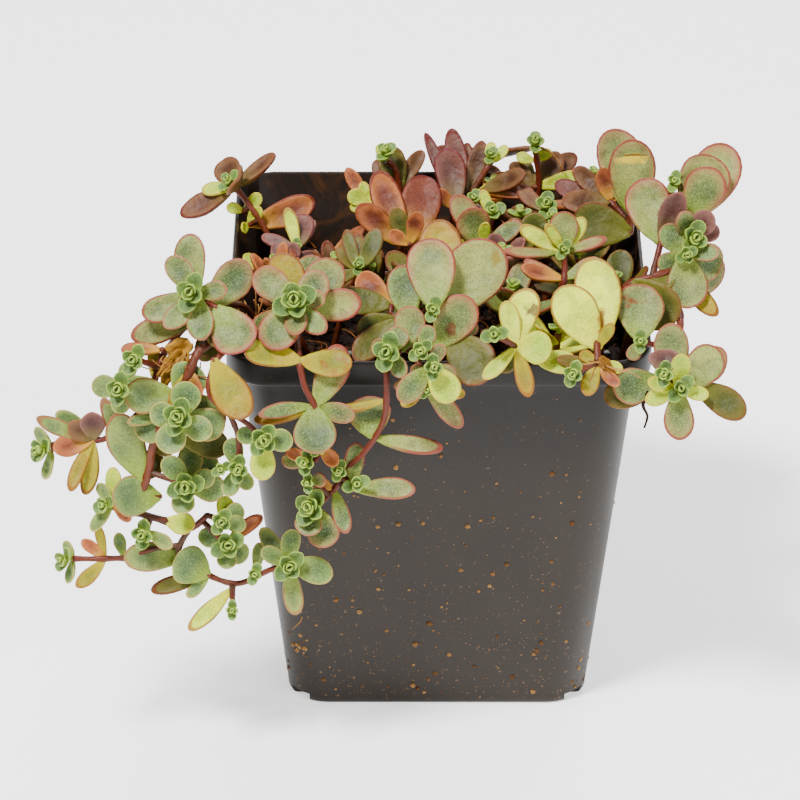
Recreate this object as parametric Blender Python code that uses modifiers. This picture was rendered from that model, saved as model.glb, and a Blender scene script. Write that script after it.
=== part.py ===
"""A sedum that trails from a square plastic nursery pot.

Origin at the centre of the pot's base, X to the right, -Y to the front, +Z up. The layout below is
in millimetres and the meshes are made in metres. Each leafy stem is one closed solid: its stem,
its side twigs and its thick spoon-shaped leaves are fused.
"""

import math
import random
from collections import namedtuple

import bmesh
import bpy
from mathutils import Matrix, Vector
from mathutils.bvhtree import BVHTree

MM = 0.001

# Driving dimensions of the pot, in millimetres
RIM_WIDTH = 90.0
RIM_CORNER = 9.0
POT_HEIGHT = 93.0
RIM_BAND = 6.0
BODY_TOP_WIDTH = 84.4
BASE_WIDTH = 66.0
WALL = 1.1
BASE_EDGE = 0.6
NOTCH_FROM_CENTRE = 28.3
NOTCH_HEIGHT = 2.0

# Driving dimensions of the soil
GAP = 0.3
SOIL_LEVEL = 79.0
SOIL_BUMP = 1.6
SOIL_SLOPE_BACK = 3.0
SOIL_HEAP_LEFT = 3.5
CLODS = 14
CLOD_SIZE = 2.2

# Driving dimensions of stems and leaves
STEM_SIDES = 6
TWIG_SIDES = 4
TWIG_RADIUS = 0.65
TWIG_FROM = 0.8
LEAF_HALF_THICKNESS = 0.5
LEAF_THICKENING = 0.035
LEAF_SPOON = 0.055
LEAF_CUP = 0.16
LEAF_FOOT = 0.6
LEAF_GROWTH = 1.09
WIDEST = 0.63
SMALL_LEAF = 10.4
YOUNG_LEAF = 6.6
LONG_LEAF = 13.0
CORE_LIFT = 1.2
CORE_RISE = 0.62
CORE_DRIFT = 7
HAIR = 0.02
JOIN_TOLERANCE = 0.22
JOIN_REACH = 2.5
SEED = 7

Stem = namedtuple("Stem", "foot_radius tip_radius route")
Leaf = namedtuple("Leaf", "clock length width lean roll tone")
Core = namedtuple("Core", "reach pairs turn")
Tuft = namedtuple("Tuft", "at faces core leaves")
Spray = namedtuple("Spray", "tone stems tufts")
Blade = namedtuple("Blade", "root along face length width tone")

FRONT = (0.0, -0.87, 0.5)
UP_THE_FRONT = Vector((0.0, 0.5, 0.87))


def stem(foot_radius, tip_radius, *route):
    return Stem(foot_radius, tip_radius, [Vector(place) for place in route])


def leaf(clock, length, width, lean=0, roll=0, tone=None):
    """A leaf that points at an hour of the clock, as seen facing its tuft. lean lifts its tip
    off the clock's face and roll turns the blade about its own length, both in degrees."""
    return Leaf(clock, length, width, lean, roll, tone)


def tuft(at, *leaves, faces=FRONT, core=None):
    """Leaves that grow from one joint. core is (reach, pairs, turn) of the young leaves in it."""
    return Tuft(Vector(at), Vector(faces).normalized(), Core(*core) if core else None, leaves)


def spray(tone, *parts):
    return Spray(
        tone,
        [part for part in parts if isinstance(part, Stem)],
        [part for part in parts if isinstance(part, Tuft)],
    )


SPRAYS = {
    "front_left_rosette": spray(
        "glaucous",
        stem(1.05, 0.8, (-36, -24, 70), (-41, -30, 93), (-47, -35, 100), (-51, -39, 106)),
        tuft(
            (-51, -39, 106),
            leaf(11.75, 12, 6.5), leaf(10.75, 9, 5, 8), leaf(8.25, 11, 5.5, 12),
            leaf(7.25, 9, 4.5, 22), leaf(5.5, 10, 5.5, 18), leaf(2.75, 6.5, 4, 5),
            faces=(-0.25, -0.8, 0.55), core=(4.3, 3, 20),
        ),
        tuft((-49, -37, 102), leaf(8.25, 17, 6), leaf(1.5, 13, 8)),
        tuft((-46.5, -42, 104.5), leaf(4.75, 11, 9, 20), leaf(5.75, 8, 5.5, 8, tone="olive")),
        tuft((-47, -36, 99), leaf(6.5, 9, 5, 5, tone="olive")),
    ),
    "front_rosette": spray(
        "glaucous",
        stem(1.05, 0.8, (-28, -22, 70), (-31, -34, 92), (-30, -40, 100), (-30, -41, 105)),
        tuft(
            (-30, -41, 105),
            leaf(10.25, 10, 6.5), leaf(1.5, 8, 6), leaf(7, 11, 8, 16),
            leaf(6, 8, 4.5, 25), leaf(4.5, 9, 4.5, 20), leaf(3, 6, 4, 15),
            faces=(-0.05, -0.8, 0.6), core=(4.8, 4, 65),
        ),
        tuft(
            (-29, -38, 102),
            leaf(11.25, 13, 7.5, -8, tone="yellow"), leaf(1.25, 13, 8.5, -10),
            leaf(0.5, 13, 7.5, -18), leaf(7.9, 13, 8, 16), leaf(2.75, 13, 7, 8),
        ),
    ),
    "front_sprig_left": spray(
        "glaucous",
        stem(
            0.85, 0.65, (-23, -30, 70), (-27, -39, 94), (-29.5, -46, 97.3), (-29, -50, 95), (-28, -52, 91),
            (-26, -53, 87), (-25, -53.5, 81), (-25, -54, 77), (-26, -55, 75),
        ),
        tuft((-29, -49.5, 96), leaf(9.4, 11, 6, 8, 20, "yellow"), leaf(3.1, 10, 6, -5, -25, "yellow")),
        tuft(
            (-26, -53, 87),
            leaf(0.75, 14, 7), leaf(8.5, 13, 3.5, 0, 30, "yellow"), leaf(3.5, 8, 4, -10),
            leaf(8.75, 11, 3, 12), leaf(6, 10, 8.5, 25),
        ),
        tuft(
            (-27, -55, 75), leaf(9, 6, 3.5, -5), leaf(9.75, 5, 2.5, 5, tone="rust"),
            faces=(-0.3, -0.85, 0.4), core=(2.8, 3, 10),
        ),
        tuft((-25, -56, 79), leaf(4.5, 5, 3, 15, tone="rust"), faces=(0, -0.9, 0.4), core=(2.2, 2, 50)),
    ),
    "front_sprig_right": spray(
        "glaucous",
        stem(
            0.8, 0.65, (-8, -28, 70), (-9, -40, 95), (-11, -47, 98), (-11, -51, 94), (-11, -52, 88),
            (-12, -52, 82), (-16, -52, 75), (-20, -52, 71), (-22, -53, 67), (-26, -54, 63),
        ),
        tuft((-11, -52, 88), leaf(8.75, 14, 2.5, -8, 35, "yellow")),
        tuft((-14, -52, 79), leaf(3.25, 15, 4, 0, -20), leaf(11.75, 8, 8.5, 10)),
        tuft((-18, -54, 69), leaf(0.25, 8, 4, -5), faces=(0.2, -0.85, 0.45), core=(3, 2, 70)),
        tuft((-18, -53, 67), leaf(3, 12, 4.5, 0, -15)),
        tuft((-21, -55, 73), faces=(0, -0.9, 0.4), core=(2.4, 3, 20)),
        tuft((-27, -55, 70), leaf(2.5, 4, 3, 30), faces=(-0.2, -0.9, 0.4), core=(2.2, 2, 0)),
        tuft((-22, -53, 67), leaf(5.5, 9, 3.5, 8), leaf(9.75, 5, 2.5, 15, tone="rust")),
        tuft(
            (-26, -54, 63), leaf(5.5, 8, 6.5, -5), leaf(6.5, 6, 5.5, 20),
            faces=(-0.3, -0.8, 0.5), core=(4.2, 4, 30),
        ),
    ),
    "centre_bunch": spray(
        "glaucous",
        stem(0.95, 0.8, (-3, -29, 70), (-5, -39, 94), (-5.5, -45, 98), (-4, -50, 94), (-3, -53, 91)),
        stem(0.8, 0.7, (-5.5, -45, 98), (-10, -51, 98)),
        tuft(
            (-10, -51, 99), leaf(0.75, 5, 4.5, -8), leaf(9.75, 4, 3.5, 8), leaf(5, 6, 3.5, 18),
            faces=(-0.25, -0.85, 0.45), core=(4.2, 3, 15),
        ),
        tuft((-8, -49, 98), leaf(0.5, 9, 6, -10)),
        tuft((-4, -52, 100), leaf(0.75, 5, 3.5, -10), faces=(0, -0.9, 0.4), core=(2.8, 3, 50)),
        tuft(
            (-2, -54, 97), leaf(1, 5, 3, 10), leaf(7.5, 9, 5, -8), leaf(4.75, 8, 6, -5, tone="lime"),
            leaf(4, 6, 5, 0), faces=(0.2, -0.85, 0.45), core=(2.8, 3, 0),
        ),
        tuft(
            (-3, -53, 92), leaf(7.75, 6, 3, 15, 35, "yellow"), leaf(11, 5, 3, 10),
            leaf(3.5, 8, 3, 0, -35, "yellow"), leaf(9, 6, 3, 0, 20), leaf(4.25, 11, 4, 2),
            faces=(0.1, -0.95, 0.2), core=(2.2, 2, 30),
        ),
    ),
    "centre_paddles": spray(
        "glaucous",
        stem(1.1, 0.8, (1, -20, 70), (1, -31, 91), (0, -38, 101)),
        stem(0.8, 0.7, (1, -31, 91), (-6, -38, 99)),
        tuft((-1, -42, 104), leaf(11.75, 16, 10.5, -18), faces=(-0.1, -0.85, 0.5), core=(2.8, 2, 20)),
        tuft(
            (0, -38, 100),
            leaf(12, 22, 10, -15, tone="yellow"), leaf(1.25, 20, 13, -8), leaf(2, 7, 4, -12),
        ),
        tuft((-6, -41, 101), leaf(11.75, 11, 7, -10), faces=(0, -0.85, 0.5), core=(2.6, 3, 0)),
        tuft((-1, -44, 96), leaf(1.25, 12, 8, 5)),
        tuft((2, -42, 98), leaf(4.75, 12, 9.5, 5, tone="olive"), leaf(2.5, 6, 3.5, -5)),
    ),
    "inner_front_leaves": spray(
        "olive",
        stem(0.9, 0.75, (-14, -18, 70), (-14, -26, 90), (-10, -33, 98)),
        tuft((-10, -31, 99), leaf(10.5, 9, 5.5, -8, tone="rust"), leaf(9.25, 11, 6, 0, 15)),
        tuft((-9, -35, 98), leaf(8.25, 8, 6.5, 5), leaf(7.5, 13, 6, 8, 10)),
    ),
    "finger_sprig": spray(
        "olive",
        stem(0.9, 0.7, (-24, -8, 70), (-20, -13, 90), (-17, -18, 100)),
        tuft(
            (-17, -19, 101), leaf(11.5, 10, 3, -5), leaf(0, 13, 3.5, -25), leaf(0.75, 10, 4, -5),
            leaf(8, 6, 3, 20), leaf(11, 9, 3.5, -25), faces=(0, -0.6, 0.8), core=(2.2, 2, 10),
        ),
    ),
    "back_left_sprig": spray(
        "bronze",
        stem(0.95, 0.75, (-32, 8, 66), (-34, 15, 79), (-37, 20, 88), (-41, 22, 95), (-45, 25, 99)),
        tuft(
            (-45, 25, 99), leaf(8, 14, 5.5, 5, -15), leaf(10.75, 8, 6, 5), leaf(1, 11, 4, -10),
            leaf(3.5, 7, 7, 45), leaf(8.5, 7, 3.5, 18, tone="lime"),
            faces=(-0.5, -0.4, 0.8), core=(2.9, 2, 35),
        ),
        tuft((-43, 23, 94), leaf(1.5, 5, 3, 15, tone="lime"), leaf(9.5, 4, 2.5, 25, tone="lime")),
        tuft(
            (-42, 22, 91), leaf(2.25, 16, 6.5, -10, tone="rust"), leaf(1.25, 5, 3, 30, tone="lime"),
            leaf(9, 4, 2.5, 40, tone="lime"),
        ),
    ),
    "back_left_low_sprig": spray(
        "plum",
        stem(0.8, 0.7, (-22, 8, 66), (-26, 12, 80), (-31, 14, 88)),
        tuft(
            (-31, 14, 89), leaf(0.25, 9, 5.5, -20), leaf(0.75, 11, 2.5, -20), leaf(9.75, 8, 3, -10),
            leaf(11.5, 9, 3, -10, tone="lime"), faces=(0, -0.7, 0.7), core=(2, 2, 0),
        ),
        tuft((-34, 6, 87), leaf(11.5, 7, 3, -20), leaf(0.75, 7, 3.5, -12), leaf(2, 9, 4, -20)),
        tuft((-40, 6, 88), leaf(11, 4, 2.5, 0, tone="lime"), leaf(12, 4, 2.5, -15, tone="lime")),
    ),
    "back_red_sprig": spray(
        "rust",
        stem(1.05, 0.8, (-10, 4, 70), (-9, 6, 84), (-7, 8, 94)),
        tuft((-7, 8, 93), leaf(10.25, 14, 6, 10), leaf(11.25, 18, 7, -12), leaf(0.5, 17, 9.5, -15)),
        tuft((-6, 5, 95), leaf(11.25, 8, 4, 5, tone="olive"), leaf(0.5, 7, 3.5, 20), leaf(10, 5, 3, 10)),
        tuft((-24, 11, 88), leaf(1.5, 10, 3, -10)),
        tuft(
            (-15, 18, 98), leaf(10, 5, 3.5, 10, tone="lime"), leaf(11.5, 5, 2.5, 0, tone="lime"),
            leaf(2.5, 4, 3, 0, tone="lime"), leaf(8.75, 4, 2.5, 5, tone="lime"), leaf(11, 9, 3, -8),
        ),
    ),
    "back_top_sprig": spray(
        "bronze",
        stem(0.9, 0.75, (-9, 28, 70), (-8, 33, 88), (-9, 34, 98), (-11, 34, 101)),
        tuft((-8, 34, 94), leaf(11.5, 9, 6, -5, tone="olive"), leaf(10.5, 9, 4, -25), leaf(1, 10, 3.5, -25)),
        tuft((-11, 34, 101), leaf(10.75, 4, 2.5, 30, tone="lime"), faces=(-0.1, -0.3, 0.95), core=(3, 3, 30)),
    ),
    "back_purple_sprig": spray(
        "plum",
        stem(1.05, 0.8, (2, 18, 70), (3, 20, 86), (4, 22, 96)),
        stem(0.8, 0.7, (3, 20, 86), (7, 26, 96)),
        tuft((4, 22, 95), leaf(11.75, 14, 7, -5), leaf(11.25, 19, 3, -15), leaf(10.5, 6, 3, 15, tone="rust")),
        tuft(
            (7, 26, 95), leaf(11.5, 17, 5, -10), leaf(12, 14, 4, -12, tone="bronze"),
            leaf(0.5, 14, 4.5, -10, tone="bronze"), leaf(2, 12, 2.5, 10, tone="lime"),
        ),
        tuft((10, 25, 98), leaf(2.25, 11, 4.5, -5, -25, "bronze"), leaf(3, 11, 4, 20, -30, "rust")),
        tuft(
            (12, 29, 103), leaf(12, 5, 2.5, 10, tone="lime"), leaf(1.5, 5, 2.5, 10, tone="lime"),
            faces=(0, -0.4, 0.9), core=(2.5, 2, 20),
        ),
    ),
    "back_dry_sprig": spray(
        "bronze",
        stem(0.9, 0.7, (20, 27, 70), (22, 32, 86), (23, 33, 95), (22, 34, 104)),
        tuft(
            (22, 33, 95), leaf(10.5, 7, 3.5), leaf(1.25, 9, 5, -10), leaf(11.25, 7, 3.5, -15, tone="olive"),
            leaf(1.75, 12, 4.5, -15), leaf(2.5, 10, 3.5, 0, tone="lime"),
        ),
        tuft((22, 34, 101), leaf(2, 4, 2.5, tone="lime"), leaf(9.5, 4, 2.5, 0, tone="lime")),
        tuft((22, 34, 104), faces=(0, -0.5, 0.85), core=(2.8, 3, 0)),
    ),
    "mid_sprout_left": spray(
        "glaucous",
        stem(0.9, 0.7, (9, 0, 70), (9, 4, 88), (10, 5, 97)),
        stem(0.7, 0.65, (9, 4, 88), (12, 10, 99)),
        tuft(
            (10, 4, 95), leaf(11, 12, 5.5, -5), leaf(11.25, 9, 7, 28), leaf(2, 9, 4, 5, -20),
            leaf(0.25, 6, 2.5, 25, tone="lime"), leaf(9, 7, 3, 5, tone="lime"),
        ),
        tuft((8, 14, 100), faces=(0, -0.5, 0.85), core=(2.6, 2, 20)),
        tuft((12, 10, 99), leaf(11, 6, 2.5, 20, tone="lime"), faces=(0, -0.6, 0.8), core=(3.2, 3, 60)),
        tuft((6, -4, 94), leaf(2.25, 8, 5, -10, tone="olive")),
    ),
    "mid_sprout_right": spray(
        "bronze",
        stem(0.9, 0.7, (24, 7, 70), (24, 11, 88), (24, 15, 98)),
        tuft((24, 15, 98), leaf(10.75, 9, 3.5, -15), faces=(0, -0.6, 0.8), core=(3.4, 3, 10)),
        tuft((20, 12, 93), leaf(11.25, 7, 4.5, 5), leaf(9, 6, 4, 0)),
        tuft((19, 6, 93), leaf(0.75, 8, 5.5, 0, tone="olive"), leaf(9, 7, 5, 0, tone="olive")),
    ),
    "right_mid_sprig": spray(
        "glaucous",
        stem(0.9, 0.7, (25, -12, 70), (25, -17, 90), (27, -17, 98), (27, -10, 101)),
        tuft(
            (27, -10, 101), leaf(12, 8, 6), leaf(10, 10, 3.5, 0, tone="lime"), leaf(9, 13, 3, 5, 30),
            leaf(2.5, 9, 3, 8, -30), leaf(1, 8, 3.5, 5, tone="lime"), leaf(10.75, 7, 2.5, 25, tone="lime"),
            faces=(0, -0.8, 0.6), core=(2.4, 2, 30),
        ),
        tuft(
            (27, -17, 98), leaf(9.5, 9, 3.5, 5, 30, "rust"), leaf(2, 8, 3.5, 8, -25),
            leaf(10, 9, 3, -8, 25),
        ),
        tuft((25, -4, 105), faces=(-0.1, -0.5, 0.85), core=(2.2, 2, 0)),
    ),
    "yellow_paddles": spray(
        "yellow",
        stem(1.05, 0.8, (34, -25, 70), (34, -38, 93), (33, -45, 98), (33, -49, 95)),
        tuft((33, -46, 97), leaf(12, 20, 10, -15), leaf(11, 15, 9.5, 0, tone="lime"), leaf(1, 6, 2.5, 20)),
        tuft(
            (33, -49, 95), leaf(6.75, 7, 3.5, 20), leaf(10, 4, 2.5), leaf(4.5, 6, 2.5, 10, tone="rust"),
            leaf(3.5, 5, 2.5, 5, tone="lime"), leaf(9.25, 8, 2.5, -5, tone="olive"),
        ),
        tuft((28, -51, 94), faces=(-0.1, -0.9, 0.4), core=(2.9, 3, 20)),
    ),
    "front_right_sprig": spray(
        "lime",
        stem(0.95, 0.75, (15, -28, 70), (16, -40, 94), (16, -47, 98)),
        tuft(
            (16, -47, 98), leaf(11.5, 9, 4, -5), leaf(0.5, 13, 7, -15), leaf(3, 7, 6.5, 15),
            leaf(7.5, 9, 3, 5, 15), leaf(5.5, 10, 3.5, 5, tone="yellow"),
            leaf(7, 6, 4, -20, tone="olive"),
        ),
        tuft((20, -47, 95), leaf(3.25, 8, 5, 0, -20)),
        tuft((12, -48, 101), faces=(-0.2, -0.8, 0.55), core=(3, 2, 75)),
    ),
    "right_back_paddles": spray(
        "glaucous",
        stem(1.05, 0.8, (34, 5, 70), (36, 9, 89), (43, 9, 100)),
        tuft((43, 9, 100), leaf(11.5, 20, 10.5, -8), leaf(12, 17, 10.5, 10)),
        tuft(
            (38, 12, 102), leaf(11.5, 7, 4, 0, tone="rust"), leaf(9, 10, 5.5, 10, 25, "bronze"),
            leaf(9.75, 13, 5, -5, 20, "plum"), leaf(10.5, 10, 4, -12, tone="bronze"),
        ),
        tuft((42, 1, 100), leaf(9.5, 13, 10, 0, tone="olive"), leaf(9.75, 13, 5.5, -15, 20, "olive")),
    ),
    "right_upper_sprig": spray(
        "glaucous",
        stem(
            1.05, 0.8, (33, -12, 70), (39, -14, 92.5), (46, -14, 97), (51, -12, 98), (53, -9, 101),
        ),
        stem(0.9, 0.75, (46, -14, 97), (48, -8, 102)),
        tuft(
            (54, -8, 103), leaf(11, 7, 4.5, 32), leaf(1.25, 7, 5, 15, tone="plum"),
            leaf(2.5, 7, 4, 0, tone="plum"), faces=(0.3, -0.8, 0.5), core=(4, 3, 25),
        ),
        tuft(
            (53, -11, 101), leaf(10.75, 7, 5), leaf(3, 7, 3.5, 20, -30), leaf(8.25, 10, 8),
            leaf(3.75, 8, 8, -5), leaf(6, 11, 8.5, 12), leaf(4.5, 11, 9),
            faces=(0.1, -0.9, 0.4), core=(2.6, 3, 60),
        ),
        tuft((48, -8, 102), leaf(11.5, 15, 10, -15), leaf(0.75, 11, 5, 15, tone="plum")),
        tuft((54, -3, 105), leaf(1, 20, 11, -15), leaf(0.75, 15, 11.5, 2), leaf(1, 13, 9, 18)),
        tuft((51, 2, 111), faces=(0, -0.7, 0.7), core=(2.6, 2, 20)),
        tuft(
            (52, -12, 98), leaf(4.75, 12, 4, 5, tone="yellow"), leaf(7.5, 12, 5, 12, 20, "olive"),
        ),
    ),
    "right_lower_sprig": spray(
        "glaucous",
        stem(
            1.05, 0.9, (36, -29.5, 70), (41, -32, 94), (46, -36.5, 99), (50, -40, 101.5), (49.5, -44, 98),
            (50, -48, 90),
        ),
        tuft(
            (50, -49, 89), leaf(6, 10, 6, 10), leaf(12, 8, 4, 38, tone="lime"),
            leaf(9.5, 7, 3, 25, tone="lime"), leaf(8.25, 7, 3.5, 5, tone="lime"),
            leaf(3.5, 6, 3, 15, tone="lime"), leaf(11.75, 14, 7.5, -5), leaf(1.5, 11, 7.5),
            leaf(1.75, 14, 7, -12), faces=(0.1, -0.85, 0.5), core=(3.4, 2, 45),
        ),
        tuft(
            (47, -50, 93), leaf(12, 5, 6, -15, tone="plum"),
            faces=(-0.1, -0.85, 0.5), core=(2.8, 3, 10),
        ),
        tuft((47, -48, 90), leaf(8.75, 10, 7, 5), leaf(8.5, 13, 7, -10, tone="olive")),
        tuft((53, -47, 89), leaf(4, 13, 6.5, 0, tone="olive")),
        tuft((42, -43, 97), leaf(0, 12, 9.5, -20), leaf(7, 4, 3), faces=(0, -0.85, 0.5), core=(2.5, 2, 0)),
    ),
    "left_trunk": spray(
        "glaucous",
        stem(
            1.25, 0.9, (-33, -29, 70), (-39, -36, 93.5), (-45, -41.5, 97), (-50, -46, 96.5), (-53, -49, 91),
            (-57, -50, 84), (-60, -51, 77), (-61, -51, 71), (-63, -51, 64), (-64, -51, 60),
        ),
        stem(0.9, 0.75, (-64, -51, 60), (-58, -51, 58), (-53, -51, 56), (-49, -52, 60)),
        stem(
            0.8, 0.7, (-53, -51, 56), (-55, -51, 52), (-55, -51, 49), (-50, -51, 45), (-43, -52, 43),
            (-36, -53, 47), (-32, -54, 49),
        ),
        stem(0.75, 0.65, (-55, -51, 52), (-61, -51, 51), (-66, -51, 49), (-72, -50, 48), (-78, -50, 48)),
        stem(0.7, 0.65, (-64, -51, 60), (-67, -51, 60), (-70, -52, 63)),
        stem(0.7, 0.65, (-44, -52, 43), (-44, -54, 38)),
        tuft((-52, -48, 93), leaf(7, 8, 3, 0, tone="yellow"), leaf(5.5, 6, 3, 10, tone="rust")),
        tuft(
            (-54, -54, 85), leaf(0.5, 7, 6, -5), leaf(9.25, 6, 5), leaf(6.75, 7.5, 6, 12),
            leaf(4, 7, 5, 5), leaf(3.5, 9, 6.5, -22), faces=(-0.1, -0.85, 0.5), core=(4.1, 4, 20),
        ),
        tuft((-55, -50, 88), leaf(1.25, 7, 7.5, 0), leaf(4, 11, 6, -10), leaf(9, 10, 7, -5)),
        tuft((-57, -50, 83), leaf(8, 7, 6, -5), leaf(8.75, 8, 2.5, -5)),
        tuft((-54, -50, 77), leaf(3.25, 9, 6, -5, tone="olive"), leaf(8.75, 6, 5, -20, tone="olive")),
        tuft(
            (-53, -53, 68), leaf(10.75, 7, 4.5, 5), leaf(0.25, 8, 5, -15), leaf(1.5, 9, 5, -12),
            leaf(3.25, 7.5, 5.5, -5), leaf(6.5, 6, 4.5, 22), leaf(2.25, 6, 4, 5),
            faces=(-0.05, -0.9, 0.4), core=(4.1, 4, 70),
        ),
        tuft(
            (-62, -51, 68), leaf(0.5, 6, 6, -15, tone="olive"), leaf(11.25, 16, 8, 5),
            leaf(11, 20, 4.5, -8),
        ),
        tuft((-59, -51, 64), leaf(9, 10, 8, 12)),
        tuft(
            (-69, -52, 63), leaf(4.75, 5, 3, -20, tone="rust"), leaf(10.5, 5, 3), leaf(7.25, 7, 3, 15),
            leaf(12, 7, 4, -10, tone="lime"), faces=(-0.6, -0.75, 0.3), core=(3, 2, 70),
        ),
        tuft((-58, -51, 58), leaf(3.25, 7, 4.5, 30, -15, "lime")),
        tuft((-62, -52, 56), leaf(4, 6, 3), faces=(-0.2, -0.9, 0.3), core=(3.3, 3, 10)),
        tuft(
            (-46, -54, 60), leaf(2, 5, 4, -15), leaf(3.5, 5, 3.5), leaf(0.5, 5, 3.5, -15, tone="lime"),
            faces=(0.05, -0.9, 0.4), core=(3, 3, 30),
        ),
        tuft(
            (-45, -54, 54), leaf(9.75, 6, 4, -18), leaf(1.75, 9, 3, 5, tone="rust"), leaf(4.25, 5, 4.5, -5),
            leaf(6, 5, 4, 18), faces=(0.1, -0.85, 0.45), core=(3.8, 3, 60),
        ),
        tuft((-54, -51, 49), leaf(9, 12, 6, 10)),
        tuft((-49, -52, 45), leaf(10, 8, 8, 20), leaf(8.5, 12, 3.5, -10, tone="olive"), leaf(7.5, 6, 2.5, 5)),
        tuft((-67, -51, 49), leaf(11.5, 5, 2.5, 5), leaf(4, 3, 2.5, 30)),
        tuft(
            (-71, -50, 48), leaf(11.5, 7, 2, 0, tone="yellow"), leaf(7.5, 8, 3, 0, tone="yellow"),
            leaf(10.25, 6, 2.5, 0, tone="rust"),
        ),
        tuft(
            (-78, -50, 48), leaf(11, 4, 2.5, 5), leaf(6.25, 5, 2.5, 10),
            faces=(-0.7, -0.6, 0.3), core=(3, 2, 40),
        ),
        tuft((-39, -54, 47), leaf(0.25, 6, 2.5, -10), faces=(0, -0.9, 0.4), core=(2.5, 2, 20)),
        tuft(
            (-32, -54, 49), leaf(3.5, 9, 5.5, 10), leaf(0.25, 7, 4), leaf(10, 6, 3.5), leaf(5.75, 10, 4, 5),
            leaf(10.75, 9, 3.5, -12), faces=(0.1, -0.9, 0.4), core=(3.8, 3, 45),
        ),
        tuft((-44, -52, 42), leaf(7.5, 12, 3.5, 0, tone="lime")),
        tuft((-44, -54, 38), faces=(0, -0.9, 0.4), core=(2.2, 2, 0)),
    ),
    "left_outer_stem": spray(
        "glaucous",
        stem(
            0.8, 0.7, (-35, -15, 70), (-40, -22, 92.3), (-46.5, -28, 97.2), (-53, -37, 97.5), (-58, -42, 93),
            (-60, -45, 88), (-63, -46, 82), (-66, -46, 79), (-71, -46, 75), (-76, -45, 75), (-82, -45, 73),
        ),
        tuft((-58, -43, 95), leaf(9, 8, 3, 0, 30, "rust")),
        tuft((-60, -45, 89), leaf(9, 8, 2.5, 5), leaf(12, 7, 2.5, -10, tone="yellow")),
        tuft((-63, -49, 96), leaf(7.5, 5, 3.5, -15), faces=(-0.2, -0.85, 0.45), core=(3.4, 3, 30)),
        tuft(
            (-66, -49, 89), leaf(9.25, 7, 4.5, -10), leaf(6.5, 5, 4, -10), leaf(3.5, 5, 3.5, -10),
            faces=(-0.25, -0.85, 0.45), core=(3.6, 3, 10),
        ),
        tuft(
            (-73, -46, 75), leaf(9.75, 13, 3.5, 10), leaf(10.25, 9, 3.5),
            leaf(10.25, 6, 4, 22, tone="bronze"), leaf(8.5, 8, 4.5, 10, tone="rust"),
            leaf(6.75, 11, 3, 5, tone="yellow"),
            leaf(6.25, 11, 3.5, -10, tone="yellow"), leaf(12, 6, 5, 25, tone="plum"),
        ),
        tuft(
            (-82, -45, 72), leaf(10.5, 6, 3, 8), leaf(6.5, 6, 3, 8),
            faces=(-0.7, -0.6, 0.3), core=(3.4, 3, 55),
        ),
    ),
    "left_inner_stem": spray(
        "glaucous",
        stem(
            0.75, 0.65, (-28, -33, 70), (-34, -38, 94), (-40, -44, 97.5), (-46, -50, 97), (-48, -54, 91),
            (-44, -55, 87), (-40, -55, 84), (-37, -56, 81),
        ),
        stem(0.7, 0.65, (-44, -55, 87), (-42, -55, 81), (-42, -56, 74)),
        tuft((-47, -51, 97), leaf(5, 14, 8, 5, tone="yellow")),
        tuft(
            (-37, -56, 81), leaf(3.25, 6, 4.5, 10), leaf(6, 8, 5, 5, tone="lime"), leaf(9.5, 5, 3.5, -8),
            faces=(0.1, -0.9, 0.4), core=(3.6, 4, 35),
        ),
        tuft(
            (-42, -56, 74), leaf(6.75, 6, 3.5, 10), leaf(5, 6, 4, 5), leaf(11.5, 6, 4, 5),
            faces=(0, -0.9, 0.4), core=(3, 3, 10),
        ),
        tuft((-45, -56, 74), faces=(-0.2, -0.9, 0.4), core=(2.3, 2, 60)),
    ),
    "right_rim_sprig": spray(
        "glaucous",
        stem(0.95, 0.75, (34, 20, 70), (40, 24, 90), (47, 27, 98), (52, 28, 93), (55, 29, 86)),
        tuft((48, 27, 98), leaf(12, 11, 7, 10), leaf(6, 9, 6, 5), faces=(0.5, -0.1, 0.85)),
        tuft(
            (55, 29, 86), leaf(12, 9, 6), leaf(6, 10, 6.5), leaf(3, 8, 5, 10), leaf(9, 8, 5, 10),
            faces=(0.85, -0.1, 0.5), core=(4, 3, 25),
        ),
    ),
    "back_rim_sprig": spray(
        "bronze",
        stem(0.95, 0.75, (8, 36, 70), (10, 40, 90), (11, 47, 97), (12, 52, 91), (12, 53, 84)),
        tuft((11, 47, 97), leaf(9, 10, 6, 5), leaf(3, 10, 6, 5), faces=(0, 0.4, 0.9)),
        tuft(
            (12, 53, 84), leaf(12, 9, 6), leaf(6, 9, 6, 5), leaf(3, 8, 5, 8), leaf(9, 8, 5, 8),
            faces=(0.1, 0.85, 0.5), core=(3.8, 3, 25),
        ),
    ),
}


def low_sprig(x, y, top, length, turn, tone, lean=14, slimness=0.54):
    """A low upright sprig: opposite pairs of leaves up a short stem, each pair turned a right
    angle to the last and steeper, with a small core on top."""
    foot = Vector((x, y, 70))
    head = Vector((x * 1.06, y * 1.06, top))
    faces = (head - foot).normalized()
    parts = [stem(0.8, 0.7, foot, head)]
    for pair in range(3):
        at = head - faces * 0.2 * length * (3 - pair)
        hour = turn + 3 * pair
        grown = length * (1 - 0.12 * pair)
        steeper = lean + (80 - lean) * 0.26 * pair
        rows = [leaf(hour + side, grown, slimness * grown, steeper) for side in (0, 6)]
        parts.append(tuft(at, *rows, faces=faces))
    parts.append(tuft(head, faces=faces, core=(2.6, 2, 30 * turn)))
    return spray(tone, *parts)


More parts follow.
